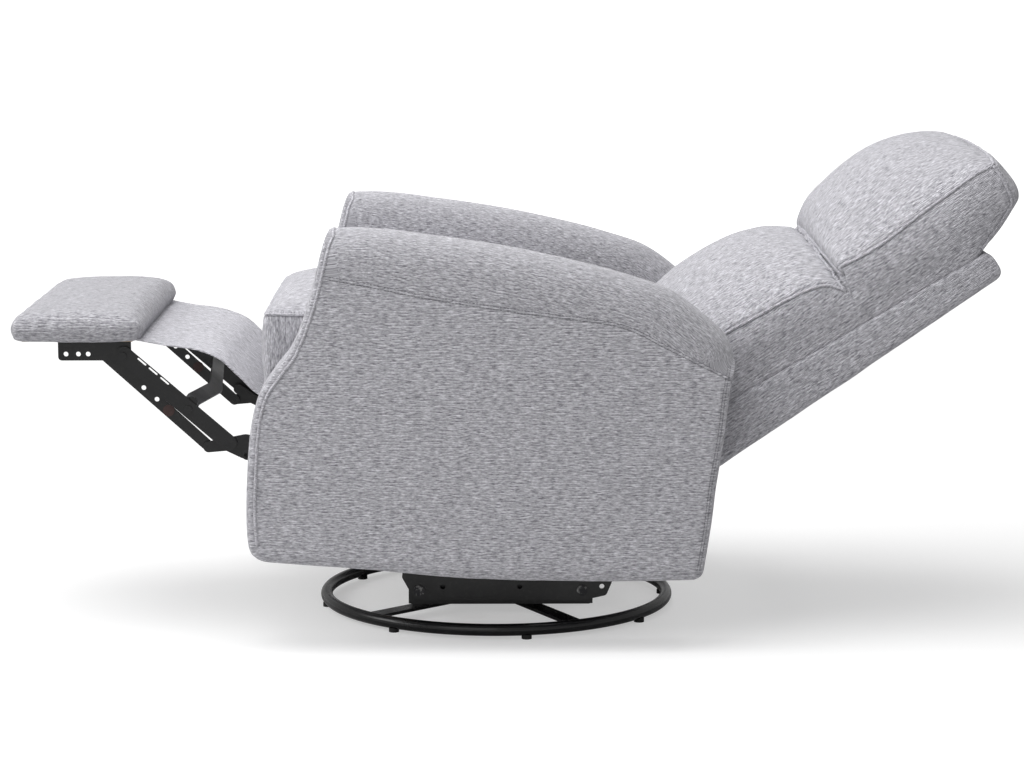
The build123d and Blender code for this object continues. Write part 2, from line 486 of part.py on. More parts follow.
def make_linkage():
    """The footrest's folding links, which are alike on both sides."""
    main_face = link_face(UPPER_KNEE, MAIN_HEAD, LINK_END, MAIN_HEAD_RADIUS)
    main_face += link_face(LOWER_KNEE, UPPER_KNEE, LOWER_KNEE_END, LINK_END)
    main_face += link_face(MAIN_HEAD, MAIN_PIVOT, MAIN_NECK_RADIUS, MAIN_LINK_END)
    main = side_plate(main_face, MAIN_X, LINK_PLATE)
    main -= hole(MAIN_PIVOT, RIVET_RADIUS + RUN, MAIN_X, LINK_PLATE)
    main -= hole(MAIN_HOLE, PUNCHED_RADIUS, MAIN_X, LINK_PLATE)
    main += disc(UPPER_KNEE, RIVET_RADIUS, MAIN_X + LINK_PLATE, LINK_GAP + LINK_PLATE)
    main += disc(UPPER_KNEE, RIVET_HEAD_RADIUS, MAIN_X + LINK_PLATE, LINK_GAP - SOFT_GAP)
    main += disc(LOWER_KNEE, RIVET_RADIUS, LOWER_X, LINK_GAP + LINK_PLATE)
    main += disc(LOWER_KNEE, RIVET_HEAD_RADIUS, MAIN_X - LINK_GAP + SOFT_GAP, LINK_GAP - SOFT_GAP)
    save_pair("rear_main_link", main)
    control_face = link_face(CONTROL_PIVOT, CONTROL_BEND, LINK_END, CONTROL_LINK_BEND)
    control_face += link_face(CONTROL_BEND, CONTROL_KNEE, CONTROL_LINK_BEND, CONTROL_LINK_END)
    control = side_plate(control_face, CONTROL_X, LINK_PLATE)
    control -= hole(CONTROL_PIVOT, RIVET_RADIUS + RUN, CONTROL_X, LINK_PLATE)
    save_pair("rear_control_link", control)
    shank = CONTROL_X - MECH_X - PLATE + LINK_PLATE
    control_pin = disc(CONTROL_PIVOT, RIVET_RADIUS, MECH_X + PLATE, shank)
    control_pin += disc(CONTROL_PIVOT, RIVET_HEAD_RADIUS, MECH_X + PLATE, LINK_GAP - SOFT_GAP)
    main_shank = MAIN_X + LINK_PLATE - MECH_X - PLATE
    main_pin = disc(MAIN_PIVOT, RIVET_RADIUS, MECH_X + PLATE, main_shank)
    main_pin += disc(MAIN_PIVOT, RIVET_HEAD_RADIUS, MECH_X + PLATE, MAIN_X - MECH_X - PLATE - SOFT_GAP)
    back_pin = disc(BACK_PIVOT, SWING_PIN_RADIUS, MECH_X + PLATE, BACK_PLATE_X - MECH_X)
    back_pin += disc(BACK_PIVOT, PIN_HEAD_RADIUS, MECH_X + PLATE, BACK_PLATE_X - MECH_X - PLATE - SOFT_GAP)
    lever_pin = disc(LEVER_PIVOT, RIVET_RADIUS, LEVER_X, -MECH_X - PLATE - LEVER_X)
    lever_collar = LEVER_X + LEVER_THICK + SOFT_GAP
    lever_pin += disc(LEVER_PIVOT, RIVET_HEAD_RADIUS, lever_collar, -MECH_X - PLATE - lever_collar)
    save("chassis_pivot_pins", *both(control_pin), *both(main_pin), *both(back_pin), lever_pin)

    slope = degrees(atan2(UPPER_LINK_DIRECTION[1], UPPER_LINK_DIRECTION[0]))

    def on_upper_link(along, above):
        (dy, dz), (y, z) = UPPER_LINK_DIRECTION, UPPER_KNEE
        return (y + along * dy + above * dz, z + along * dz - above * dy)

    ends = [on_upper_link(along, UPPER_LINK_SHIFT) for along in (0, UPPER_LINK_LENGTH)]
    upper_face = link_face(*ends, UPPER_LINK_RADIUS, UPPER_LINK_RADIUS)
    upper = side_plate(upper_face, UPPER_X, LINK_PLATE)
    upper -= hole(UPPER_KNEE, RIVET_RADIUS + RUN, UPPER_X, LINK_PLATE)
    for along in SLOT_PLACES:
        place = on_upper_link(along, UPPER_LINK_SHIFT + UPPER_LINK_RADIUS - SLOT_EDGE)
        slot = Pos(*place) * Rot(0, 0, slope) * SlotOverall(SLOT_LENGTH, SLOT_WIDTH)
        upper -= side_plate(slot, UPPER_X - 1, LINK_PLATE + 2)
    upper += disc(UPPER_TOE, RIVET_RADIUS, MAIN_X, LINK_GAP + LINK_PLATE)
    upper += disc(UPPER_TOE, RIVET_HEAD_RADIUS, UPPER_X - LINK_GAP + SOFT_GAP, LINK_GAP - SOFT_GAP)
    upper += disc(UPPER_TOE, RIVET_HEAD_RADIUS, UPPER_X + LINK_PLATE, RIVET_HEAD)
    upper += disc(BAR_BOLT, RIVET_HEAD_RADIUS, UPPER_X + LINK_PLATE, RIVET_HEAD)
    save_pair("front_upper_link", upper)

    lower = side_plate(link_face(LOWER_KNEE, LOWER_TOE, LOWER_KNEE_END, LOWER_TOE_END), LOWER_X, LINK_PLATE)
    lower -= hole(LOWER_KNEE, RIVET_RADIUS + RUN, LOWER_X, LINK_PLATE)
    lower -= hole(LOWER_TOE, RIVET_RADIUS + RUN, LOWER_X, LINK_PLATE)
    for place in LOWER_HOLES:
        lower -= hole(place, PUNCHED_RADIUS, LOWER_X, LINK_PLATE)
    lower -= disc(BUMPER_PLACE, BUMPER_NECK, LOWER_X, LINK_PLATE)
    save_pair("front_lower_link", lower)
    lip = LINK_GAP - SOFT_GAP
    bumper = disc(BUMPER_PLACE, BUMPER_NECK, LOWER_X, LINK_PLATE)
    bumper += disc(BUMPER_PLACE, BUMPER_RADIUS, LOWER_X - lip, lip)
    bumper += disc(BUMPER_PLACE, BUMPER_RADIUS, LOWER_X + LINK_PLATE, lip)
    save("link_bumpers", *both(bumper))

    strip_plane = Plane((0, *BAR_PLACE), x_dir=(1, 0, 0),
                        z_dir=(0, UPPER_LINK_DIRECTION[1], -UPPER_LINK_DIRECTION[0]))
    centre = [(-UPPER_X, 0), (BAR_END - UPPER_X, 0), (0, BAR_BOW), (UPPER_X - BAR_END, 0), (UPPER_X, 0)]
    edge = BAR_WIDTH / 2
    outline = [(x, y + edge) for x, y in centre] + [(x, y - edge) for x, y in reversed(centre)]
    strip = extrude(strip_plane * make_face(Polyline(*outline, close=True)), BAR_THICK / 2, both=True)
    tab = side_plate(link_face(BAR_PLACE, BAR_BOLT, BAR_TAB, BAR_TAB), UPPER_X - LINK_PLATE, LINK_PLATE)
    save("cross_bar", strip + tab + mirror(tab, about=Plane.YZ))


def make_footrest():
    """Brackets, board and pad of the footrest."""
    face = make_face(Polyline(
        (BRACKET_FRONT_Y, PAD_BOTTOM_Z), (BRACKET_FRONT_Y, BRACKET_BOTTOM),
        (BRACKET_REAR_Y, BRACKET_BOTTOM), (BRACKET_REAR_Y, PAD_BOTTOM_Z), close=True))
    for y, radius in ((BRACKET_FRONT_Y, BRACKET_ROUND), (BRACKET_REAR_Y, BRACKET_REAR_ROUND)):
        corner = face.vertices().sort_by_distance(Vector(y, BRACKET_BOTTOM, 0))[0]
        face = fillet(corner, radius)
    bracket = side_plate(face, MAIN_X, LINK_PLATE)
    hole_z = BRACKET_BOTTOM + LINK_END
    for y in BRACKET_HOLES:
        bracket -= hole((y, hole_z), PUNCHED_RADIUS, MAIN_X, LINK_PLATE)
    bracket -= hole(UPPER_TOE, RIVET_RADIUS + RUN, MAIN_X, LINK_PLATE)
    flange_length = BRACKET_REAR_Y - BRACKET_FRONT_Y - 2 * FLANGE_INSET
    flange = Pos(MAIN_X - FLANGE_WIDTH / 2, (BRACKET_FRONT_Y + BRACKET_REAR_Y) / 2,
                 PAD_BOTTOM_Z - LINK_PLATE / 2) * Box(FLANGE_WIDTH, flange_length, LINK_PLATE)
    save_pair("footrest_bracket", bracket + flange)
    front, rear = PAD_FRONT_Y + BOARD_INSET, PAD_REAR_Y - BOARD_INSET
    board = Box(2 * (SEAT_HALF - BOARD_INSET), rear - front, BOARD_THICK)
    board = Pos(0, (front + rear) / 2, PAD_BOTTOM_Z + BOARD_THICK / 2) * board
    save("footrest_board", board)
    rows = [(PAD_FRONT_Y + away, pull, crown) for away, pull, crown in PAD_END]
    rows += [((PAD_FRONT_Y + PAD_REAR_Y) / 2, 0, PAD_CROWN)]
    rows += [(PAD_REAR_Y - away, pull, crown) for away, pull, crown in reversed(PAD_END)]
    planes = [Plane((0, y, 0), x_dir=(1, 0, 0), z_dir=(0, -1, 0)) for y, pull, crown in rows]
    side = PAD_BOTTOM_Z + PAD_SIDE
    sections = [(SEAT_HALF - pull, PAD_BOTTOM_Z + pull * 0.6, side - pull * 0.4, side + crown - pull * 0.4,
                 SIDE_BULGE) for y, pull, crown in rows]
    save("footrest_pad", cushion(planes, sections) - board)


def make_back():
    """Back frame, slab and the two back cushions."""
    def slab_deep(along):
        share = (along - SLAB_LOW) / (SLAB_HIGH - SLAB_LOW)
        return SLAB_DEEP_LOW + share * (SLAB_DEEP_HIGH - SLAB_DEEP_LOW)

    def back_face(points):
        return make_face(Polyline(*[back_point(*p) for p in points], close=True))

    slab_face = back_face([(SLAB_LOW, 0), (SLAB_HIGH, 0),
                           (SLAB_HIGH, SLAB_DEEP_HIGH), (SLAB_LOW, SLAB_DEEP_LOW)])
    slab = side_plate(fillet(slab_face.vertices(), SLAB_ROUND), -BACK_HALF, 2 * BACK_HALF)
    ends = [e for e in slab.edges() if e.bounding_box().size.X < 0.01 and e.length > 30]
    slab = fillet(ends, SLAB_ROUND)

    stile_deep = (slab_deep(STILE_TOP) - STILE_DEEP) / 2
    low = SLAB_LOW + STILE_INSET
    stile_x = BACK_PLATE_X + PLATE
    stile_rise = stile_deep + STILE_DEEP

    def timber(start, end):
        return back_face([(start, stile_deep), (end, stile_deep), (end, stile_rise), (start, stile_rise)])

    stile = side_plate(timber(low, STILE_TOP), stile_x, STILE_WIDTH)
    rails = [side_plate(timber(along, along + FRAME_RAIL_WIDTH), -BACK_PLATE_X, 2 * BACK_PLATE_X)
             for along in FRAME_RAILS]
    pivot_along = (BACK_PIVOT[0] - BACK_FOOT[0]) * cos(radians(BACK_ANGLE)) + (
        BACK_PIVOT[1] - BACK_FOOT[1]) * sin(radians(BACK_ANGLE))
    ends = Pos(*BACK_PIVOT) * Circle(BRACKET_PIVOT_END)
    for along in (SLAB_LOW + BRACKET_FOOT, pivot_along + BRACKET_REACH):
        ends += Pos(*back_point(along, stile_deep + STILE_DEEP / 2)) * Circle(BRACKET_STILE_END)
    bracket = side_plate(make_hull(ends.edges()), BACK_PLATE_X, PLATE)
    bracket -= hole(BACK_PIVOT, SWING_PIN_RADIUS + RUN, BACK_PLATE_X, PLATE)
    save_pair("back_bracket", bracket)
    save_pair("back_stile", stile)
    save("back_rails", *rails)
    pocket = [stile, mirror(stile, about=Plane.YZ), bracket, mirror(bracket, about=Plane.YZ), *rails]
    for piece in pocket:
        slab -= piece
    save("back_slab", slab)

    def back_cushion(name, start, length, foot, top, overhang=()):
        rows = [(start + away, away == 0, away - length, *shape) for away, *shape in foot]
        rows += [(start + length - away, away == 0, away, *shape) for away, *shape in top]
        sections = []
        for along, is_end, away, welt, crown, pull in rows:
            low = dict(overhang).get(away, slab_deep(along) + (CUSHION_LIFT if is_end else 0))
            sections.append((BACK_HALF - pull, low, welt, crown, SIDE_BULGE))
        save(name, cushion([back_plane(row[0]) for row in rows], sections))

    back_cushion("lumbar_cushion", LUMBAR_LOW, LUMBAR_LENGTH, LUMBAR_FOOT, LUMBAR_TOP)
    back_cushion("head_cushion", HEAD_LOW, HEAD_LENGTH, HEAD_FOOT, HEAD_TOP, HEAD_OVERHANG)


def make_lever():
    """Release lever in the gap between the seat cushion and the right arm."""
    top = (LEVER_PIVOT[0], LEVER_TOP_Z - LEVER_WIDTH / 2)
    face = link_face(LEVER_PIVOT, top, LINK_END, LEVER_WIDTH / 2)
    lever = side_plate(face, LEVER_X, LEVER_THICK)
    save("release_lever", lever - hole(LEVER_PIVOT, RIVET_RADIUS + RUN, LEVER_X, LEVER_THICK))


make_base()
make_swivel()
make_chassis_frame()
make_arms()
make_seat()
make_linkage()
make_footrest()
make_back()
make_lever()
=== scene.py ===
import bpy
import bmesh
import json
from math import ceil, cos, exp, pi, radians, sin, sqrt
from mathutils import Matrix, Vector, noise
from mathutils.kdtree import KDTree


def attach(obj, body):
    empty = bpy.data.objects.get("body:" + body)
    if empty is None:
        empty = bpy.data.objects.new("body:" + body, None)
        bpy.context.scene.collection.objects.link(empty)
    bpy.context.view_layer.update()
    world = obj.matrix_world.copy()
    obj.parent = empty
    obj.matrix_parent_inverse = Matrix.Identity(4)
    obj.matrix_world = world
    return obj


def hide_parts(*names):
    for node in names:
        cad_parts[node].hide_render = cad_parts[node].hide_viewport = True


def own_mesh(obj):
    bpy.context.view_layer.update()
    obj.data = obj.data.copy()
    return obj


# Swivel glider recliner in heathered grey cloth, reclined with its footrest out.
# Metres, +Z up, the chair faces -Y, and +X is the sitter's left.

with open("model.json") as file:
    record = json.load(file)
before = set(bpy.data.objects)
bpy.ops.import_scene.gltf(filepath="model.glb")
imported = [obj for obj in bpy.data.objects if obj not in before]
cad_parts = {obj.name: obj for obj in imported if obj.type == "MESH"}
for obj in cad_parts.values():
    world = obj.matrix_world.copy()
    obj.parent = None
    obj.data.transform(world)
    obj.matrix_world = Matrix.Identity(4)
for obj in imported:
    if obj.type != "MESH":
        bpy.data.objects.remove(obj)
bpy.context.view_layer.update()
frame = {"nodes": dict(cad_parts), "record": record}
nodes = frame["nodes"]
print("frame loaded:", len(nodes), "nodes")


# small tools

def lerp(a, b, t):
    return a + (b - a) * t


def smoothStep(t):
    t = min(1.0, max(0.0, t))
    return t * t * (3 - 2 * t)


def near(distance, reach):  # 1 at a place, fading to 0 at its reach
    return 1 - smoothStep(distance / reach)


def table(pairs, x):  # smooth value between the pairs of a sorted table
    if x <= pairs[0][0]:
        return pairs[0][1]
    for (x0, y0), (x1, y1) in zip(pairs, pairs[1:]):
        if x <= x1:
            i = pairs.index((x0, y0))
            before = pairs[max(i - 1, 0)]
            after = pairs[min(i + 2, len(pairs) - 1)]
            t = (x - x0) / (x1 - x0)
            slope0 = (y1 - before[1]) / max(x1 - before[0], 1e-9) * (x1 - x0)
            slope1 = (after[1] - y0) / max(after[0] - x0, 1e-9) * (x1 - x0)
            return ((2 * t ** 3 - 3 * t ** 2 + 1) * y0 + (t ** 3 - 2 * t ** 2 + t) * slope0
                    + (3 * t ** 2 - 2 * t ** 3) * y1 + (t ** 3 - t ** 2) * slope1)
    return pairs[-1][1]


def lineLength(line):
    return sum((b - a).length for a, b in zip(line, line[1:]))


def direction(line, i):  # the way a line runs at one of its points
    return (line[min(i + 1, len(line) - 1)] - line[max(i - 1, 0)]).normalized()


def resample(points, count):  # evenly spaced points along a polyline
    lengths = [0.0]
    for a, b in zip(points, points[1:]):
        lengths.append(lengths[-1] + (b - a).length)
    found, k = [], 0
    for i in range(count + 1):
        want = lengths[-1] * i / count
        while k < len(points) - 2 and lengths[k + 1] < want:
            k += 1
        span = lengths[k + 1] - lengths[k]
        found.append(points[k].lerp(points[k + 1], (want - lengths[k]) / span if span else 0))
    return found


curveSteps = 24


def curveThrough(points, count):  # a smooth curve through a few points
    points = [Vector(p) for p in points]
    dense = []
    ends = [points[0] * 2 - points[1]] + points + [points[-1] * 2 - points[-2]]
    for a, b, c, d in zip(ends, ends[1:], ends[2:], ends[3:]):
        for i in range(curveSteps):
            t = i / curveSteps
            dense.append(0.5 * (2 * b + (c - a) * t + (2 * a - 5 * b + 4 * c - d) * t * t
                                + (3 * b - a - 3 * c + d) * t ** 3))
    return resample(dense + [points[-1]], count)


def pointTree(points):
    tree = KDTree(len(points))
    for i, p in enumerate(points):
        tree.insert(p.to_3d(), i)
    tree.balance()
    return tree


def newObject(name, data):
    made = bpy.data.objects.new(name, data)
    bpy.context.scene.collection.objects.link(made)
    return made


def meshPiece(name, points, faces, smooth=True):
    mesh = bpy.data.meshes.new(name)
    mesh.from_pydata([tuple(p) for p in points], [], faces)
    mesh.validate()
    piece = newObject(name, mesh)
    if smooth:
        mesh.shade_smooth()
    return piece


def fixNormals(piece):
    work = bmesh.new()
    work.from_mesh(piece.data)
    bmesh.ops.recalc_face_normals(work, faces=work.faces)
    work.to_mesh(piece.data)
    work.free()


def applyModifiers(piece):
    graph = bpy.context.evaluated_depsgraph_get()
    mesh = bpy.data.meshes.new_from_object(piece.evaluated_get(graph))
    old = piece.data
    piece.modifiers.clear()
    piece.data = mesh
    bpy.data.meshes.remove(old)
    mesh.shade_smooth()


def subdivide(piece):
    modifier = piece.modifiers.new("subdivision", "SUBSURF")
    modifier.levels = modifier.render_levels = 1
    applyModifiers(piece)


def mirrorPiece(piece, name):  # the same piece on the chair's right side
    mesh = piece.data.copy()
    mesh.transform(Matrix.Diagonal((-1, 1, 1, 1)))
    mesh.flip_normals()
    return newObject(name, mesh)


def joined(parts):  # several sets of points and faces as one
    points, faces = [], []
    for p, f in parts:
        faces += [tuple(k + len(points) for k in face) for face in f]
        points += p
    return points, faces


def tubeFaces(count, sides):  # the walls and both ends of a row of rings
    faces = []
    for i in range(count - 1):
        a, b = i * sides, (i + 1) * sides
        faces += [(a + k, a + (k + 1) % sides, b + (k + 1) % sides, b + k) for k in range(sides)]
    return faces + [tuple(range(sides - 1, -1, -1)), tuple(range((count - 1) * sides, count * sides))]


def sweep(path, radius, sides):  # points and faces of a tube along a path
    points, normal = [], None
    for i, p in enumerate(path):
        along = direction(path, i)
        if normal is None:
            normal = along.orthogonal().normalized()
        normal = (normal - along * normal.dot(along)).normalized()
        across = along.cross(normal)
        for k in range(sides):
            turn = 2 * pi * k / sides
            points.append(p + (normal * cos(turn) + across * sin(turn)) * radius)
    return points, tubeFaces(len(path), sides)


pipeSides = 8


def tubePiece(name, paths, radius):
    return meshPiece(name, *joined(sweep(path, radius, pipeSides) for path in paths))


# a sewn ribbon's cross-section, as shares of its width and height
ribbonProfile = [(-0.5, -0.6), (-0.42, 0.55), (-0.2, 0.95), (0.0, 1.0), (0.2, 0.95), (0.42, 0.55), (0.5, -0.6)]


def ribbonPiece(name, paths, normal, width, height):  # flat raised seams laid along paths on a surface
    parts = []
    for path in paths:
        points = []
        for i, p in enumerate(path):
            up = normal(p)
            across = direction(path, i).cross(up).normalized()
            points += [p + across * (u * width) + up * (w * height) for u, w in ribbonProfile]
        parts.append((points, tubeFaces(len(path), len(ribbonProfile))))
    piece = meshPiece(name, *joined(parts))
    fixNormals(piece)
    return piece


# shares of a stitch's thickness and of its half length
stitchShape = {"lift": 0.35, "arch": 0.4, "shoulder": 0.7, "sides": 5}


def stitchPiece(name, paths, normal, pitch, length, thickness):  # short raised threads along each path
    shape, parts = stitchShape, []
    for path in paths:
        spots = resample(path, 2 * ceil(lineLength(path) / pitch))
        lift = [normal(p) * thickness * shape["lift"] for p in spots]
        for i in range(0, len(spots) - 2, 2):
            a, b = spots[i] + lift[i], spots[i + 2] + lift[i + 2]
            middle, half = (a + b) / 2, (b - a) * (length / pitch / 2)
            arch, shoulder = normal(middle) * thickness * shape["arch"], half * shape["shoulder"]
            line = [middle - half - arch, middle - shoulder, middle, middle + shoulder, middle + half - arch]
            parts.append(sweep(line, thickness / 2, shape["sides"]))
    return meshPiece(name, *joined(parts))


def weaveMap(piece, basis=Matrix.Identity(3)):
    # UV in metres: u runs along the cloth's streaks and v across them, chosen face by face
    layer = piece.data.uv_layers.new(name="weave")
    inverse = basis.transposed()
    upright = piece.get("upright")
    for face in piece.data.polygons:
        n = inverse @ face.normal
        size = [abs(n.x), abs(n.y), abs(n.z)]
        for loop in face.loop_indices:
            p = inverse @ piece.data.vertices[piece.data.loops[loop].vertex_index].co
            if size[0] >= max(size[1], size[2]):
                uv = (p.z, p.y) if upright else (p.y, p.z)
            elif size[2] >= size[1]:
                uv = (p.y, p.x)
            else:
                uv = (p.z, p.x)
            layer.data[loop].uv = uv


def dress(piece, material, body, replaces=()):
    piece.data.materials.clear()
    piece.data.materials.append(material)
    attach(piece, body)
    if replaces:
        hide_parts(*replaces)
    return piece


# shader groups

def setSocket(tree, socket, value):
    if isinstance(value, bpy.types.NodeSocket):
        tree.links.new(value, socket)
    else:
        socket.default_value = value


def addNode(tree, kind, settings=(), **inputs):  # i0, i1 and so on name an input by its number
    node = tree.nodes.new("ShaderNode" + kind)
    for key, value in dict(settings).items():
        setattr(node, key, value)
    for key, value in inputs.items():
        setSocket(tree, node.inputs[int(key[1:])] if key[0] == "i" and key[1:].isdigit() else node.inputs[key], value)
    return node


def mathNode(tree, operation, a, b=0.0):
    return addNode(tree, "Math", {"operation": operation}, i0=a, i1=b).outputs[0]


def times(tree, a, b):
    return mathNode(tree, "MULTIPLY", a, b)


def plus(tree, a, b):
    return mathNode(tree, "ADD", a, b)


def mixColour(tree, share, a, b):
    return addNode(tree, "Mix", {"data_type": "RGBA"}, i0=share, i6=a, i7=b).outputs[2]


def ramp(tree, value, low, high, first=0.0, last=1.0, kind="LINEAR"):
    return addNode(tree, "MapRange", {"interpolation_type": kind}, i0=value, i1=low, i2=high, i3=first,
                   i4=last).outputs[0]


def noiseNode(tree, place, scale, detail, grain=0.5, swirl=0.0):
    return addNode(tree, "TexNoise", (), Vector=place, Scale=scale, Detail=detail, Roughness=grain,
                   Distortion=swirl).outputs[0]


def stretched(tree, place, scale, shift=(0, 0, 0)):
    return addNode(tree, "Mapping", (), Vector=place, Location=shift, Scale=scale).outputs[0]


def objectPlace(tree):
    return addNode(tree, "TexCoord").outputs["Object"]


def newGroup(name, inputs, outputs):
    group = bpy.data.node_groups.new(name, "ShaderNodeTree")
    for label, (kind, value) in inputs.items():
        socket = group.interface.new_socket(name=label, in_out="INPUT", socket_type="NodeSocket" + kind)
        socket.default_value = value
    for label, kind in outputs.items():
        group.interface.new_socket(name=label, in_out="OUTPUT", socket_type="NodeSocket" + kind)
    return group, group.nodes.new("NodeGroupInput").outputs, group.nodes.new("NodeGroupOutput").inputs


heatherShape = {
    "depth": 40.0, "grain": 0.6, "longDetail": 2.5, "longShare": 0.62,
    "shortScale": (2.6, 1.3, 1.0), "shortShift": (7.3, 3.1, 1.7), "shortDetail": 2.0,
    "wideScale": (0.35, 0.2, 1.0), "wideShift": (1.3, 9.1, 4.7), "wideDetail": 1.0,
    "darkRange": (0.49, 0.36), "paleRange": (0.50, 0.64), "threadDrift": 9.0, "threadRise": 0.35, "fleckRise": 2.2,
}


def makeHeather(shape):
    # slubby yarn: long flecks of dark and pale fibre over a plain weave
    group, get, give = newGroup("heatherWeave", {
        "Vector": ("Vector", (0, 0, 0)), "Ground": ("Color", (0.4, 0.4, 0.42, 1)),
        "Dark Yarn": ("Color", (0.2, 0.2, 0.22, 1)), "Pale Yarn": ("Color", (0.7, 0.7, 0.72, 1)),
        "Fleck Length": ("Float", 0.02), "Fleck Width": ("Float", 0.002), "Thread Pitch": ("Float", 0.0021),
        "Mottle": ("Float", 0.1),
    }, {"Color": "Color", "Height": "Float", "Fleck": "Float"})
    parts = addNode(group, "SeparateXYZ", (), Vector=get["Vector"]).outputs
    place = addNode(group, "CombineXYZ", (), X=mathNode(group, "DIVIDE", parts[0], get["Fleck Length"]),
                    Y=mathNode(group, "DIVIDE", parts[1], get["Fleck Width"]),
                    Z=times(group, parts[2], shape["depth"])).outputs[0]
    long = noiseNode(group, place, 1.0, shape["longDetail"], shape["grain"])
    nearer = stretched(group, place, shape["shortScale"], shape["shortShift"])
    short = noiseNode(group, nearer, 1.0, shape["shortDetail"], shape["grain"])
    patch = noiseNode(group, stretched(group, place, shape["wideScale"], shape["wideShift"]), 1.0, shape["wideDetail"])
    streak = plus(group, times(group, long, shape["longShare"]), times(group, short, 1 - shape["longShare"]))
    ground = mixColour(group, ramp(group, streak, *shape["darkRange"]), get["Ground"], get["Dark Yarn"])
    flecked = mixColour(group, ramp(group, streak, *shape["paleRange"]), ground, get["Pale Yarn"])
    tone = plus(group, times(group, mathNode(group, "SUBTRACT", patch, 0.5), get["Mottle"]), 1.0)
    tinted = addNode(group, "HueSaturation", (), Value=tone, Color=flecked).outputs[0]
    # threads: rows across the streaks, broken up along them
    row = times(group, mathNode(group, "DIVIDE", parts[1], get["Thread Pitch"]), 2 * pi)
    wave = mathNode(group, "SINE", plus(group, row, times(group, long, shape["threadDrift"])))
    height = plus(group, times(group, wave, shape["threadRise"]), times(group, streak, shape["fleckRise"]))
    for label, value in (("Color", tinted), ("Height", height), ("Fleck", streak)):
        group.links.new(value, give[label])
    return group


def makeMaskGroup(name, first, second, amount, scale, mask):
    # mixes two colours by a mask times an amount, and gives the colour and the mask
    group, get, give = newGroup(name, {first[0]: ("Color", first[1]), second[0]: ("Color", second[1]),
                                       "Amount": ("Float", amount), "Scale": ("Float", scale)},
                                {"Color": "Color", "Mask": "Float"})
    share = times(group, mask(group, get["Scale"]), get["Amount"])
    group.links.new(mixColour(group, share, get[first[0]], get[second[0]]), give["Color"])
    group.links.new(share, give["Mask"])
    return group


wearShape = {"edge": (0.52, 0.6), "rub": (0.5, 0.72), "detail": 5.0, "grain": 0.7}
dustShape = {"facing": (0.2, 1.0), "patch": (0.35, 0.7, 0.2), "detail": 4.0}


def wearMask(group, scale):  # rubbed edges on painted and plated steel
    point = addNode(group, "NewGeometry").outputs["Pointiness"]
    scratch = noiseNode(group, objectPlace(group), scale, wearShape["detail"], wearShape["grain"])
    return times(group, ramp(group, point, *wearShape["edge"]), ramp(group, scratch, *wearShape["rub"]))


def dustMask(group, scale):  # a thin settled film on faces that look up
    normal = addNode(group, "NewGeometry").outputs["Normal"]
    up = addNode(group, "SeparateXYZ", (), i0=normal).outputs[2]
    cloud = noiseNode(group, objectPlace(group), scale, dustShape["detail"])
    return times(group, ramp(group, up, *dustShape["facing"]), ramp(group, cloud, *dustShape["patch"]))


heatherGroup = makeHeather(heatherShape)
wearGroup = makeMaskGroup("edgeWear", ("Base", (0.02, 0.02, 0.02, 1)), ("Worn", (0.2, 0.2, 0.2, 1)), 0.5, 60.0,
                          wearMask)
dustGroup = makeMaskGroup("settledDust", ("Color", (0.02, 0.02, 0.02, 1)), ("Dust Color", (0.35, 0.34, 0.32, 1)),
                          0.1, 30.0, dustMask)


# materials

def newMaterial(name):
    material = bpy.data.materials.new(name)
    material.use_nodes = True
    return material, material.node_tree, material.node_tree.nodes["Principled BSDF"]


def useGroup(tree, group, **values):
    node = tree.nodes.new("ShaderNodeGroup")
    node.node_tree = group
    for key, value in values.items():
        setSocket(tree, node.inputs[key.replace("_", " ")], value)
    return node.outputs


def addDust(tree, colour, tint, amount, scale):
    return useGroup(tree, dustGroup, Color=colour, Dust_Color=(*tint, 1), Amount=amount, Scale=scale)


def finishSurface(tree, shader, colour, roughness, height, rise):
    relief = addNode(tree, "Bump", (), Height=height, Distance=rise, Strength=1.0).outputs[0]
    for label, value in (("Base Color", colour), ("Roughness", roughness), ("Normal", relief)):
        setSocket(tree, shader.inputs[label], value)


clothLook = {
    "yarns": {"Ground": (0.42, 0.414, 0.446), "Dark_Yarn": (0.19, 0.187, 0.207), "Pale_Yarn": (0.70, 0.695, 0.735)},
    "fleckLength": 0.0125, "fleckWidth": 0.0023, "threadPitch": 0.0023, "mottle": 0.22, "rise": 0.0009,
    "roughness": (0.3, 0.7, 0.84, 0.97),
    "sockets": {"Sheen Weight": 0.25, "Sheen Roughness": 0.5, "Specular IOR Level": 0.2},
}


def makeCloth(name, look, fleckScale=1.0, tone=1.0):
    material, tree, shader = newMaterial(name)
    place = addNode(tree, "UVMap", {"uv_map": "weave"}).outputs[0]
    yarns = {key: tuple(c * tone for c in colour) + (1,) for key, colour in look["yarns"].items()}
    weave = useGroup(tree, heatherGroup, Vector=place, Fleck_Length=look["fleckLength"] * fleckScale,
                     Fleck_Width=look["fleckWidth"] * fleckScale, Thread_Pitch=look["threadPitch"],
                     Mottle=look["mottle"], **yarns)
    for label, value in look["sockets"].items():
        shader.inputs[label].default_value = value
    finishSurface(tree, shader, weave["Color"], ramp(tree, weave["Fleck"], *look["roughness"]), weave["Height"],
                  look["rise"])
    return material


# the thread is far darker than the cloth: its own colour together with painted shade standing in for the shadow in the
# stitched grooves
threadLook = {"bright": (0.17, 0.17, 0.185, 1), "dim": (0.102, 0.102, 0.111, 1), "scale": 1400.0, "detail": 2.0,
              "roughness": 0.7, "rise": 0.0002}


def makeThread(name, look):
    material, tree, shader = newMaterial(name)
    twist = noiseNode(tree, objectPlace(tree), look["scale"], look["detail"])
    finishSurface(tree, shader, mixColour(tree, twist, look["dim"], look["bright"]), look["roughness"], twist,
                  look["rise"])
    return material


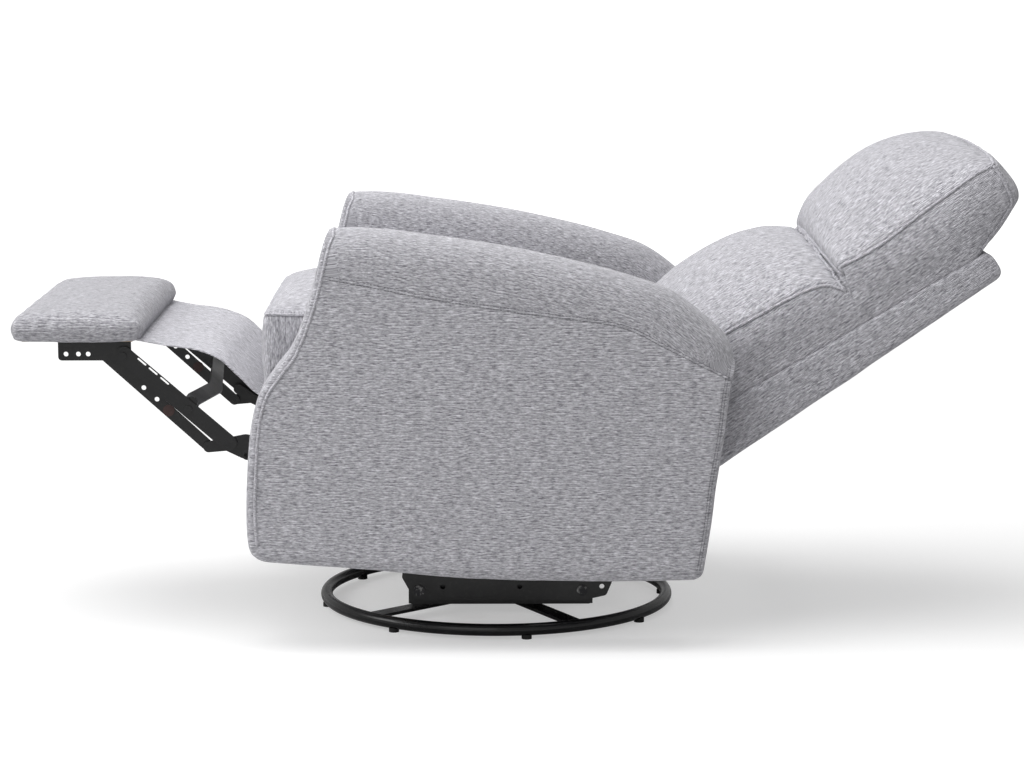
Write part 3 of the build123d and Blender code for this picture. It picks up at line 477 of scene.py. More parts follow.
paintLook = {
    "wear": {"Base": (0.0055, 0.0055, 0.006, 1), "Worn": (0.09, 0.088, 0.085, 1), "Amount": 0.22, "Scale": 90.0},
    "dustTint": (0.32, 0.31, 0.3), "dustScale": 24.0, "dustDulls": 0.4, "peelScale": 420.0, "peelDetail": 2.0,
    "rise": 0.00012, "broadScale": 14.0, "broadDetail": 3.0, "broadRange": (0.3, 0.7), "below": 0.07, "above": 0.1,
}


def makePaintedSteel(name, look, roughness, dust):
    material, tree, shader = newMaterial(name)
    wear = useGroup(tree, wearGroup, **look["wear"])
    film = addDust(tree, wear["Color"], look["dustTint"], dust, look["dustScale"])
    place = objectPlace(tree)
    peel = noiseNode(tree, place, look["peelScale"], look["peelDetail"])
    broad = noiseNode(tree, place, look["broadScale"], look["broadDetail"])
    rough = ramp(tree, broad, *look["broadRange"], roughness - look["below"], roughness + look["above"])
    dulled = plus(tree, rough, times(tree, film["Mask"], look["dustDulls"]))
    tree.links.new(wear["Mask"], shader.inputs["Metallic"])
    finishSurface(tree, shader, film["Color"], dulled, peel, look["rise"])
    return material


def makeGrained(name, look, colour, metal=0.0):  # colour is a fixed one, or made from the tree and its grain
    material, tree, shader = newMaterial(name)
    shader.inputs["Metallic"].default_value = metal
    place = stretched(tree, objectPlace(tree), look["stretch"])
    grain = noiseNode(tree, place, look["scale"], look["detail"], look["grain"], look["swirl"])
    film = addDust(tree, colour(tree, grain) if callable(colour) else colour, *look["dust"])
    finishSurface(tree, shader, film["Color"], ramp(tree, grain, *look["roughness"]), grain, look["rise"])
    return material


plateLook = {"stretch": (40, 900, 900), "scale": 1.0, "detail": 3.0, "grain": 0.5, "swirl": 0.0,
             "dust": ((0.3, 0.29, 0.27), 0.15, 40.0), "roughness": (0.3, 0.7, 0.28, 0.46), "rise": 0.00008,
             "wear": {"Worn": (0.75, 0.74, 0.72, 1), "Amount": 0.5, "Scale": 80.0}}
woodLook = {"stretch": (60, 7, 60), "scale": 1.0, "detail": 6.0, "grain": 0.65, "swirl": 0.6,
            "dust": ((0.5, 0.48, 0.45), 0.2, 18.0), "roughness": (0.3, 0.7, 0.62, 0.8), "rise": 0.0004,
            "pale": (0.55, 0.40, 0.24, 1), "dark": (0.33, 0.21, 0.11, 1), "darkRange": (0.35, 0.68)}
rubberLook = {"stretch": (1, 1, 1), "scale": 900.0, "detail": 3.0, "grain": 0.5, "swirl": 0.0,
              "dust": ((0.2, 0.19, 0.18), 0.2, 60.0), "roughness": (0.3, 0.7, 0.6, 0.82), "rise": 0.0001}
webbingLook = {"rows": 170.0, "rowSwing": 1.5, "files": 120.0, "fileSwing": 1.0, "detail": 2.0,
               "dark": (0.008, 0.008, 0.009, 1), "pale": (0.035, 0.035, 0.037, 1),
               "dust": ((0.25, 0.24, 0.23), 0.2, 30.0), "roughness": (0.0, 1.0, 0.75, 0.95), "rise": 0.0006}


def plated(base):
    return lambda tree, grain: useGroup(tree, wearGroup, Base=base, **plateLook["wear"])["Color"]


def woodColour(tree, grain):
    return mixColour(tree, ramp(tree, grain, *woodLook["darkRange"]), woodLook["pale"], woodLook["dark"])


def makeWebbing(name, look):
    material, tree, shader = newMaterial(name)
    place = objectPlace(tree)
    bands = [addNode(tree, "TexWave", {"bands_direction": way}, Vector=place, Scale=look[scale],
                     Distortion=look[swing], Detail=look["detail"]).outputs[1]
             for way, scale, swing in (("X", "rows", "rowSwing"), ("Y", "files", "fileSwing"))]
    plait = times(tree, *bands)
    film = addDust(tree, mixColour(tree, plait, look["dark"], look["pale"]), *look["dust"])
    finishSurface(tree, shader, film["Color"], ramp(tree, plait, *look["roughness"]), plait, look["rise"])
    return material


greyCloth = makeCloth("greyCloth", clothLook)
pipingCloth = makeCloth("pipingCloth", clothLook, fleckScale=0.6, tone=1.12)
padClothPaintedShade = makeCloth("padClothPaintedShade", clothLook, tone=0.84)      # the same cloth darkened: painted shade on the footrest pad's top
flapClothPaintedLight = makeCloth("flapClothPaintedLight", clothLook, tone=1.16)    # the same cloth lightened: painted light on the flap
greyThreadAndPaintedShade = makeThread("greyThreadAndPaintedShade", threadLook)
blackPaint = makePaintedSteel("blackPaint", paintLook, roughness=0.36, dust=0.015)
glossPaint = makePaintedSteel("glossPaint", paintLook, roughness=0.22, dust=0.01)
zincPlate = makeGrained("zincPlate", plateLook, plated((0.42, 0.42, 0.41, 1)), metal=1.0)
blackZinc = makeGrained("blackZinc", plateLook, plated((0.035, 0.035, 0.037, 1)), metal=1.0)
rawWood = makeGrained("rawWood", woodLook, woodColour)
blackWebbing = makeWebbing("blackWebbing", webbingLook)
blackRubber = makeGrained("blackRubber", rubberLook, (0.016, 0.016, 0.016, 1))
brownRubber = makeGrained("brownRubber", rubberLook, (0.045, 0.022, 0.02, 1))

slotLooks = {"black_steel": blackPaint, "bright_steel": zincPlate, "wood": rawWood, "black_webbing": blackWebbing,
             "black_rubber": blackRubber, "grey_fabric": greyCloth}
ownLooks = {"link_bumpers": brownRubber, "base_ring": glossPaint, "base_arms": glossPaint,
            "lower_swing_pins": blackZinc, "upper_swing_pins": blackZinc, "chassis_pivot_pins": blackZinc}
for part in frame["record"]["subparts"]:
    node = nodes[part["node"]]
    node.data.materials.clear()
    node.data.materials.append(ownLooks.get(part["node"], slotLooks[part["material_slot"]]))
print("materials done:", len(bpy.data.materials))


# camera, floor and light

cameraSetup = {"place": (4.700, -0.0186, 1.0636), "yaw": -0.009415, "pitch": 0.149089, "lens": 102.9, "sensor": 36,
               "reach": 60}


def makeCamera(setup):
    camera = newObject("photoCamera", bpy.data.cameras.new("photoCamera"))
    camera.location = setup["place"]
    yaw, pitch = setup["yaw"], setup["pitch"]
    forward = Vector((-cos(yaw) * cos(pitch), -sin(yaw) * cos(pitch), -sin(pitch)))
    camera.rotation_euler = forward.to_track_quat("-Z", "Y").to_euler()
    camera.data.lens = setup["lens"]
    camera.data.sensor_width = setup["sensor"]
    camera.data.clip_end = setup["reach"]
    bpy.context.scene.camera = camera


studioSetup = {
    "skyLight": 0.40, "skyShown": 1.05, "floorHalf": 60.0, "floorTone": 0.62, "floorGrain": (3.0, 3.0),
    "floorRoughness": (0.0, 1.0, 0.85, 0.95), "glow": (1.0, 6.0, 0.42, 0.95),
    "lamps": {   # place, what it points at, size, watts
        "overhead": ((0.3, -0.5, 3.1), (0, 0, 0.3), 3.0, 98.0),
        "front": ((3.6, -1.2, 1.9), (0, 0, 0.5), 2.6, 14.5),
        "left": ((0.9, -3.2, 2.3), (0, 0.2, 0.6), 2.2, 56.0),
    },
}


def addLamp(name, place, target, size, watts):
    data = bpy.data.lights.new(name, "AREA")
    data.shape, data.size, data.energy = "SQUARE", size, watts
    light = newObject(name, data)
    light.location = place
    light.rotation_euler = (Vector(target) - Vector(place)).to_track_quat("-Z", "Y").to_euler()


def makeStudio(setup):
    world = bpy.data.worlds.new("paleStudio")
    bpy.context.scene.world = world
    world.use_nodes = True
    tree = world.node_tree
    tree.nodes.clear()
    seen = addNode(tree, "LightPath").outputs["Is Camera Ray"]
    strength = ramp(tree, seen, 0.0, 1.0, setup["skyLight"], setup["skyShown"])
    sky = addNode(tree, "Background", (), Color=(1, 1, 1, 1), Strength=strength)
    tree.links.new(sky.outputs[0], tree.nodes.new("ShaderNodeOutputWorld").inputs[0])
    size = setup["floorHalf"]
    floor = meshPiece("studioFloor", [(-size, -size, 0), (size, -size, 0), (size, size, 0), (-size, size, 0)],
                      [(0, 1, 2, 3)], smooth=False)
    material, floorTree, shader = newMaterial("paleFloor")
    place = objectPlace(floorTree)
    shader.inputs["Base Color"].default_value = (*[setup["floorTone"]] * 3, 1)
    grain = noiseNode(floorTree, place, *setup["floorGrain"])
    floorTree.links.new(ramp(floorTree, grain, *setup["floorRoughness"]), shader.inputs["Roughness"])
    # the floor shines by itself for the camera: weakly near the chair, which is painted light that lifts the chair's
    # shadow there, and more strongly far from it, so that it meets the pale backdrop with no horizon
    far = addNode(floorTree, "VectorMath", {"operation": "LENGTH"}, i0=place).outputs["Value"]
    glow = ramp(floorTree, far, *setup["glow"], kind="SMOOTHSTEP")
    seenFloor = addNode(floorTree, "LightPath").outputs["Is Camera Ray"]
    shader.inputs["Emission Color"].default_value = (1, 1, 1, 1)
    floorTree.links.new(times(floorTree, glow, seenFloor), shader.inputs["Emission Strength"])
    floor.data.materials.append(material)
    for name, lamp in setup["lamps"].items():
        addLamp(name, *lamp)


makeCamera(cameraSetup)
makeStudio(studioSetup)
bpy.context.scene.view_settings.view_transform = "Standard"
print("camera and studio done")


# padded plates: the arms and the back's slab

def at(line, t):  # the point at a share of a line's length
    k = t * (len(line) - 1)
    i = min(int(k), len(line) - 2)
    return line[i].lerp(line[i + 1], k - i)


def coons(bottom, top, left, right, columns, rows):
    # a smooth patch between four edges; bottom and top run the same way, left and right run upwards
    grid = []
    for t in rows:
        first, last = at(left, t), at(right, t)
        line = []
        for s in columns:
            ruled = at(bottom, s).lerp(at(top, s), t) + first.lerp(last, s)
            corners = bottom[0].lerp(bottom[-1], s).lerp(top[0].lerp(top[-1], s), t)
            line.append(ruled - corners)
        grid.append(line)
    return grid


rollSteps = 6


def crowded(total, first, last, count):
    # shares from 0 to 1 that close up towards both ends, where the rolls are
    ease = [1 - cos(pi / 2 * i / rollSteps) for i in range(rollSteps)]
    middle = [lerp(first, total - last, i / count) for i in range(count + 1)]
    return [p / total for p in [first * e for e in ease] + middle + [total - last * e for e in ease][::-1]]


def insetCurve(edge, gap):  # gap() gives the distance inwards at a share of the edge's length
    found = []
    for i, p in enumerate(edge):
        along = direction(edge, i)
        found.append(p + Vector((along.y, -along.x)) * gap(i / (len(edge) - 1)))
    return found


cornerSteps = 12


def roundCorner(first, second, radius):
    # replaces the meeting of two edges by a soft turn, and returns both edges, split at its middle
    corner = first[-1]
    kept, after = [[p for p in edge if (p - corner).length > radius] for edge in (first, second)]
    a, b, half = kept[-1], after[0], cornerSteps // 2
    turn = []
    for i in range(cornerSteps + 1):
        t = i / cornerSteps
        turn.append(a.lerp(corner, t).lerp(corner.lerp(b, t), t))
    return kept + turn[1:half + 1], turn[half:-1] + after


def nearestOn(line, tree, p):  # distance to a line of points, and how far along it
    _, i, distance = tree.find(p.to_3d())
    best = (distance, i)
    for k in (i - 1, i):
        if 0 <= k < len(line) - 1:
            along = line[k + 1] - line[k]
            t = min(1, max(0, (p - line[k]).dot(along) / along.length_squared))
            best = min(best, ((p - line[k].lerp(line[k + 1], t)).length, k + t))
    return best


outlineSteps = 400


def makeOutline(look):
    # a plate's side outline: its crest, rear, bottom and front edges, and where its middle plane lies
    edges = [curveThrough(look["edges"][key], outlineSteps // 2) for key in ("crest", "rear", "bottom", "front")]
    for i, radius in enumerate(look["corners"]):
        edges[i - 4], edges[i - 3] = roundCorner(edges[i - 4], edges[i - 3], radius)
    edges = [resample(e, outlineSteps) for e in edges]
    low, high = look["x"]
    return {"edges": edges, "trees": [pointTree(e) for e in edges], "middle": (low + high) / 2,
            "half": (high - low) / 2, "look": look}


rollBlend = 4    # how sharply two rolls meet where they cross
bandPower = 4    # how square the band round a plate's edge is


def halfAt(outline, p):  # half the plate's thickness at a place on its side
    look, total = outline["look"], 0.0
    for line, tree, (reach, depth) in zip(outline["edges"], outline["trees"], look["rolls"]):
        distance = nearestOn(line, tree, p)[0]
        if distance < reach:
            total += (depth * (1 - sqrt(1 - (1 - distance / reach) ** 2))) ** rollBlend
    d, size = p - Vector(look["puffCentre"]), look["puffSize"]
    swell = look["puff"] * max(0, 1 - (d.x / size[0]) ** 2) * max(0, 1 - (d.y / size[1]) ** 2)
    return outline["half"] - total ** (1 / rollBlend) + swell


def onSide(outline, p, way):
    return Vector((outline["middle"] + way * halfAt(outline, p), p.x, p.y))


def border(width, tall):  # the points round a grid's edge, one after another
    count = width * tall
    return [*range(width - 1), *range(width - 1, count - 1, width), *range(count - 1, count - width, -1),
            *range(count - width, 0, -width)]


def paddedPlate(name, look):
    outline = makeOutline(look)
    crest, rear, bottom, front = outline["edges"]
    centre = outline["middle"]
    rolls = [r[0] for r in look["rolls"]]
    columns = crowded(look["length"], rolls[3], rolls[1], look["long"])
    rows = crowded(look["height"], rolls[2], rolls[0], look["tall"])
    grid = coons(bottom[::-1], crest, front, rear[::-1], columns, rows)
    halves = [[halfAt(outline, p) for p in line] for line in grid]
    points, faces = [], []
    for way in (1, -1):
        for line, half in zip(grid, halves):
            points += [Vector((centre + way * h, p.x, p.y)) for p, h in zip(line, half)]
    width, tall, face = len(columns), len(rows), len(columns) * len(rows)
    for j in range(tall - 1):
        for i in range(width - 1):
            a = j * width + i
            faces.append((a, a + 1, a + width + 1, a + width))
            faces.append((face + a, face + a + width, face + a + width + 1, face + a + 1))
    # the band round the edge joins both sides
    heart, strips = Vector(look["puffCentre"]), []
    for index in border(width, tall):
        base = points[index]
        out = (Vector((base.y, base.z)) - heart).normalized() * look["bandCrown"]
        strip = [index]
        for s in range(1, look["across"]):
            t = s / look["across"]
            rise = out * (1 - (2 * t - 1) ** bandPower)
            strip.append(len(points))
            points.append(Vector((lerp(base.x, 2 * centre - base.x, t), base.y + rise.x, base.z + rise.y)))
        strips.append(strip + [face + index])
    for a, b in zip(strips, strips[1:] + strips[:1]):
        faces += [(a[k], a[k + 1], b[k + 1], b[k]) for k in range(len(a) - 1)]
    piece = meshPiece(name, points, faces)
    fixNormals(piece)
    return piece, outline


# cloth over padding

def displace(piece, move):  # moves each point by what move() says, all worked out beforehand
    moves = [move(v) for v in piece.data.vertices]
    for v, step in zip(piece.data.vertices, moves):
        v.co += step


bumpShape = {"drift": (3.7, 1.9, 5.3), "finer": 2.3, "finerShare": 0.5}


def softNoise(piece, amplitude, size, seed):  # the slight unevenness of padding under cloth
    offset = Vector([seed * way for way in bumpShape["drift"]])
    finer, share = bumpShape["finer"], bumpShape["finerShare"]
    displace(piece, lambda v: v.normal * amplitude * (
        noise.noise(v.co / size + offset) + share * noise.noise(v.co / size * finer + offset)))


gatherShape = {"reach": 5, "fade": 1.6, "alongStep": 0.19, "acrossScale": 25}


def pressSeams(piece, paths, depth, width, pucker, seed):
    # sinks the cloth along sewn lines and gathers it slightly beside them
    tree = pointTree([p for path in paths for p in path])
    shape = gatherShape

    def move(v):
        _, index, distance = tree.find(v.co)
        if distance > width * shape["reach"]:
            return Vector()
        sink = depth * exp(-(distance / width) ** 2)
        fold = noise.noise(Vector((index * shape["alongStep"], seed, distance * shape["acrossScale"])))
        return v.normal * (pucker * fold * exp(-distance / (width * shape["fade"])) - sink)

    displace(piece, move)


def laid(piece, paths, lift=0.0):  # paths laid on a piece's surface
    found = []
    for path in paths:
        spots = [piece.closest_point_on_mesh(p) for p in path]
        found.append([where + normal * lift for _, where, normal, _ in spots])
    return found


def surfaceNormal(piece):
    return lambda p: piece.closest_point_on_mesh(p)[2]


armLook = {
    "x": (0.270, 0.377),
    "edges": {
        "crest": [(-0.251, 0.6425), (-0.187, 0.642), (-0.096, 0.631), (0.005, 0.616), (0.107, 0.595), (0.198, 0.571),
                  (0.259, 0.549), (0.311, 0.512), (0.342, 0.483), (0.361, 0.450)],
        "rear": [(0.361, 0.450), (0.350, 0.404), (0.342, 0.333), (0.330, 0.260), (0.321, 0.182), (0.310, 0.112)],
        "bottom": [(0.310, 0.112), (0.158, 0.110), (-0.046, 0.115), (-0.199, 0.129), (-0.374, 0.142)],
        "front": [(-0.374, 0.142), (-0.378, 0.210), (-0.375, 0.287), (-0.370, 0.344), (-0.357, 0.395),
                  (-0.334, 0.431), (-0.308, 0.466), (-0.287, 0.517), (-0.272, 0.568), (-0.260, 0.618),
                  (-0.251, 0.6425)],
    },
    "corners": [0.026, 0.016, 0.030, 0.006],   # rear top, rear foot, front foot, front top
    "rolls": [(0.052, 0.040), (0.014, 0.012), (0.018, 0.014), (0.012, 0.010)],   # crest, rear, bottom, front
    "puff": 0.0022, "puffCentre": (0.0, 0.36), "puffSize": (0.36, 0.26),
    "bandCrown": 0.0012, "across": 8,
    "length": 0.70, "height": 0.46, "long": 84, "tall": 52,
    "seam": [(-0.256, 0.574), (-0.180, 0.560), (-0.096, 0.543), (0.055, 0.520), (0.181, 0.502), (0.257, 0.467),
             (0.349, 0.420)],
    "seamSteps": 110, "seamGap": 0.0044, "seamHeight": 0.0009, "seamPress": (0.0014, 0.0050, 0.0009, 1.0),
    "rearInset": 0.009, "rearTrim": 12, "rearSteps": 80, "rearPress": (0.0010, 0.0032, 0.0005, 2.0),
    "weltLow": 0.014, "weltHigh": 0.0088, "weltStart": 14, "weltClear": 0.0012, "weltSteps": 260,
    "weltPress": (0.0022, 0.0036, 0.0005, 3.0), "weltRadius": 0.0024, "weltLift": 0.3,
    "bumps": (0.0006, 0.07, 1.0), "stitch": (0.0052, 0.0038, 0.0008),   # pitch, length, thickness
}


crestSteps = 24


def overCrest(outline, line):
    # carries a side line up one side, across the crest and down the other side
    up = [onSide(outline, p, 1) for p in line]
    top, far = up[-1], 2 * outline["middle"] - up[-1].x
    across = [Vector((lerp(top.x, far, k / crestSteps), top.y, top.z)) for k in range(1, crestSteps)]
    return up + across + [onSide(outline, p, -1) for p in reversed(line)]


def armWeave(piece, outline, look):
    # the cloth of the arm's top runs with the crest; below the sewn line it lies level
    crest, tree = outline["edges"][0], outline["trees"][0]
    step = lineLength(crest) / (len(crest) - 1)
    layer = piece.data.uv_layers["weave"].data
    seam = look["seam"]
    for face in piece.data.polygons:
        middle = face.center
        if not seam[0][0] < middle.y or middle.z < table(seam, min(middle.y, seam[-1][0])):
            continue
        for loop in face.loop_indices:
            p = piece.data.vertices[piece.data.loops[loop].vertex_index].co
            distance, k = nearestOn(crest, tree, Vector((p.y, p.z)))
            side = p.x - outline["middle"]
            layer[loop].uv = (k * step, outline["half"] - side - distance * (1 if side > 0 else -1))


def makeArm(look):
    piece, outline = paddedPlate("armCoverLeft", look)
    subdivide(piece)
    crest, rear, _, front = outline["edges"]
    tree, trim = outline["trees"][0], look["rearTrim"]
    welt = insetCurve(front, lambda t: lerp(look["weltLow"], look["weltHigh"], smoothStep(t)))[look["weltStart"]:]
    back = resample(insetCurve(rear, lambda t: look["rearInset"])[trim:-trim], look["rearSteps"])
    top = at(crest, nearestOn(crest, tree, welt[-1])[1] / outlineSteps)
    welt = [p for p in welt if nearestOn(crest, tree, p)[0] > look["weltClear"]] + [top]
    seam = curveThrough(look["seam"], look["seamSteps"])
    seams, backs = [laid(piece, [[onSide(outline, p, way) for p in line] for way in (1, -1)])
                    for line in (seam, back)]
    welts = laid(piece, [resample(overCrest(outline, welt), look["weltSteps"])])
    pressSeams(piece, seams, *look["seamPress"])
    pressSeams(piece, backs, *look["rearPress"])
    pressSeams(piece, welts, *look["weltPress"])
    softNoise(piece, *look["bumps"])
    normal, radius = surfaceNormal(piece), look["weltRadius"]
    piping = tubePiece("armWeltLeft", laid(piece, welts, radius * look["weltLift"]), radius)
    ridge = ribbonPiece("armSeamLeft", laid(piece, seams), normal, look["seamGap"], look["seamHeight"])
    rows = []
    for way in (-1, 1):
        gap = way * look["seamGap"] / 2
        for paths, shift in ((seams, Vector((0, 0, gap))), (backs, Vector((0, gap, 0)))):
            rows += laid(piece, [[p + shift for p in path] for path in paths])
    threads = stitchPiece("armStitchesLeft", rows, normal, *look["stitch"])
    for cloth in (piece, piping, ridge):
        weaveMap(cloth)
    armWeave(piece, outline, look)
    return piece, piping, threads, ridge


armPieces = makeArm(armLook)
armSets = [armPieces, [mirrorPiece(p, p.name.replace("Left", "Right")) for p in armPieces]]
for side, (cover, piping, threads, ridge) in zip(("left", "right"), armSets):
    dress(cover, greyCloth, "chassis", [f"arm_cover_{side}"])
    dress(piping, pipingCloth, "chassis")
    dress(threads, greyThreadAndPaintedShade, "chassis")
    dress(ridge, greyCloth, "chassis")
print("arms done:", len(armPieces[0].data.polygons), "faces each")


# the back's own frame

backFoot = (0.345, 0.268)
backAngle = radians(34.4)
backBasis = Matrix(((1, 0, 0), (0, cos(backAngle), -sin(backAngle)), (0, sin(backAngle), cos(backAngle))))


def backPoint(x, along, deep):
    return Vector((0, *backFoot)) + backBasis @ Vector((x, along, deep))


def backFlat(along, deep):
    p = backPoint(0, along, deep)
    return (p.y, p.z)


slabLook = {
    "x": (-0.262, 0.262),
    "corners": [0.015, 0.015, 0.016, 0.02],
    "rolls": [(0.008, 0.007), (0.012, 0.011), (0.012, 0.010), (0.012, 0.010)],
    "puff": 0.0, "puffSize": (1, 1),
    "bandCrown": 0.001, "across": 48,
    "length": 0.58, "height": 0.065, "long": 60, "tall": 8,
    "low": -0.058, "high": 0.523, "deepLow": 0.085, "deepHigh": 0.045,
    "panelInset": 0.016, "panelDeep": -0.001, "sideSteps": 90, "press": (0.0012, 0.0035, 0.0005, 5.0),
    "edgeBow": 0.001, "heartDeep": 0.032, "bumps": (0.0008, 0.08, 4.0), "stitch": (0.0056, 0.004, 0.0008),
}


def makeSlab(look):
    low, high, deepLow, deepHigh = look["low"], look["high"], look["deepLow"], look["deepHigh"]
    bow = look["edgeBow"]
    look["puffCentre"] = backFlat((low + high) / 2, look["heartDeep"])
    corners = {
        "crest": ((low, deepLow), (lerp(low, high, 0.5), lerp(deepLow, deepHigh, 0.5)), (high, deepHigh)),
        "rear": ((high, deepHigh), (high + bow, deepHigh / 2), (high, 0)),
        "bottom": ((high, 0), (lerp(high, low, 0.5), -bow), (low, 0)),
        "front": ((low, 0), (low, deepLow / 2), (low, deepLow)),
    }
    look["edges"] = {key: [backFlat(*p) for p in line] for key, line in corners.items()}
    piece = paddedPlate("backSlab", look)[0]
    subdivide(piece)
    # the rear panel's sewn border
    inset = look["panelInset"]
    half, first, last = look["x"][1] - inset, low + inset, high - inset
    ring = [backPoint(x, along, look["panelDeep"])
            for x, along in ((-half, first), (half, first), (half, last), (-half, last))]
    sides = laid(piece, [resample([a, b], look["sideSteps"]) for a, b in zip(ring, ring[1:] + ring[:1])])
    pressSeams(piece, sides, *look["press"])
    softNoise(piece, *look["bumps"])
    return piece, stitchPiece("backSlabStitches", laid(piece, sides), surfaceNormal(piece), *look["stitch"])


slab, slabThreads = makeSlab(slabLook)
weaveMap(slab, backBasis)
dress(slab, greyCloth, "back", ["back_slab"])
dress(slabThreads, greyThreadAndPaintedShade, "back")
print("slab done")


# stuffed cushions

def stations(marks, steps):  # places along a cushion, closer together at each mark
    found = [marks[0]]
    for a, b in zip(marks, marks[1:]):
        found += [lerp(a, b, 0.5 - 0.5 * cos(pi * i / steps)) for i in range(1, steps + 1)]
    return found


def profileAt(look, v):  # a cushion's underside, welt and crown, and its half width, at one place
    return [table(look[key], v) for key in ("low", "welt", "crown")] + [look["half"] - table(look["pull"], v)]


def archAt(look, x, edge, welt, crown):
    return welt + (crown - welt) * (1 - (x / edge) ** 2) ** look["archPower"]


stuffedShape = {"floor": (0.0, 0.3, 0.6, 0.85), "rim": 0.012, "rimShare": 0.2, "rimTurn": 0.3, "sideSteps": 8,
                "crownSteps": 15, "crownTurn": 0.9, "endGrid": (48, 8)}


def stuffedBody(name, look, place):
    # a closed form lofted along the cushion: flat underside, swelling sides and a crowned top
    shape, rings, points, faces = stuffedShape, [], [], []
    for v in stations(look["marks"], look["steps"]):
        low, welt, crown, edge = profileAt(look, v)
        rim = min(shape["rim"], (welt - low) * shape["rimShare"])
        turn = rim * shape["rimTurn"]
        section = [(edge * t, low) for t in shape["floor"]] + [(edge - turn, low + turn)]
        for k in range(shape["sideSteps"] + 1):
            t = k / shape["sideSteps"]
            section.append((edge + look["bulge"] * sin(pi * t), lerp(low + rim, welt, t)))
        for k in range(1, shape["crownSteps"]):
            x = edge * cos(k / shape["crownSteps"] * pi / 2) ** shape["crownTurn"]
            section.append((x, archAt(look, x, edge, welt, crown)))
        section.append((0.0, crown))
        whole = section + [(-x, w) for x, w in reversed(section[1:-1])]
        rings.append(range(len(points), len(points) + len(whole)))
        points += [place(x, v, w) for x, w in whole]
    for a, b in zip(rings, rings[1:]):
        for k in range(len(a)):
            n = (k + 1) % len(a)
            faces.append((a[k], a[n], b[n], b[k]))
    columns, rows = shape["endGrid"]
    for v in (look["marks"][0], look["marks"][-1]):
        low, welt, crown, edge = profileAt(look, v)
        base = len(points)
        for i in range(columns + 1):
            x = edge * sin(pi / 2 * (2 * i / columns - 1))
            top = archAt(look, x, edge, welt, crown)
            for k in range(rows + 1):
                wide = 1 + look["bulge"] / edge * sin(pi * k / rows)
                points.append(place(x * wide, v, lerp(low, top, k / rows)))
        for i in range(columns):
            for k in range(rows):
                a = base + i * (rows + 1) + k
                faces.append((a, a + 1, a + rows + 2, a + rows + 1))
    piece = meshPiece(name, points, faces)
    fixNormals(piece)
    return piece


remeshEase = 0.5


def remesh(piece, voxel, smoothing):
    modifier = piece.modifiers.new("remesh", "REMESH")
    modifier.mode, modifier.voxel_size = "VOXEL", voxel
    modifier = piece.modifiers.new("smooth", "SMOOTH")
    modifier.factor, modifier.iterations = remeshEase, smoothing
    applyModifiers(piece)


coverCloth = {"quality": 4, "mass": 0.35, "tension_stiffness": 12, "compression_stiffness": 12,
              "shear_stiffness": 6, "bending_stiffness": 0.6, "use_pressure": True, "uniform_pressure_force": 4.0}
coverFrames = 20


def inflate(piece, cap, still):
    # lets the cover swell and settle like filled cloth; points that still() holds keep their place
    before = [v.co.copy() for v in piece.data.vertices]
    cloth = piece.modifiers.new("cloth", "CLOTH")
    for key, value in coverCloth.items():
        setattr(cloth.settings, key, value)
    cloth.settings.effector_weights.gravity = 0
    cloth.point_cache.frame_start, cloth.point_cache.frame_end = 1, coverFrames
    scene = bpy.context.scene
    for f in range(1, coverFrames + 1):
        scene.frame_set(f)
    graph = bpy.context.evaluated_depsgraph_get()
    found = piece.evaluated_get(graph).to_mesh()
    after = [v.co.copy() for v in found.vertices]
    piece.evaluated_get(graph).to_mesh_clear()
    piece.modifiers.remove(cloth)
    scene.frame_set(1)
    for v, a, b in zip(piece.data.vertices, before, after):
        move = (b - a) * (1 - still(a))
        if move.length > cap:
            move *= cap / move.length
        v.co = a + move


def finishCushion(piece, look, still):
    remesh(piece, look["voxel"], look["smoothing"])
    inflate(piece, look["cap"], still)
    subdivide(piece)


def sideHold(look, x):  # how firmly a cushion's sides keep their place
    firm, reach = look["sideHold"]
    return firm * smoothStep((abs(x) - look["half"] + reach) / reach)


weltSteps = 120
endSteps = 90


def weltPath(look, place, side, first, last):
    line = []
    for i in range(weltSteps + 1):
        v = lerp(first, last, i / weltSteps)
        line.append(place(side * (look["half"] - table(look["pull"], v)), v, table(look["welt"], v)))
    return line


def endPath(look, place, v):
    # across the cushion at one place, from edge to edge, along the crown
    _, welt, crown, edge = profileAt(look, v)
    line = []
    for i in range(endSteps + 1):
        x = lerp(-edge, edge, i / endSteps)
        line.append(place(x, v, archAt(look, x, edge, welt, crown)))
    return line


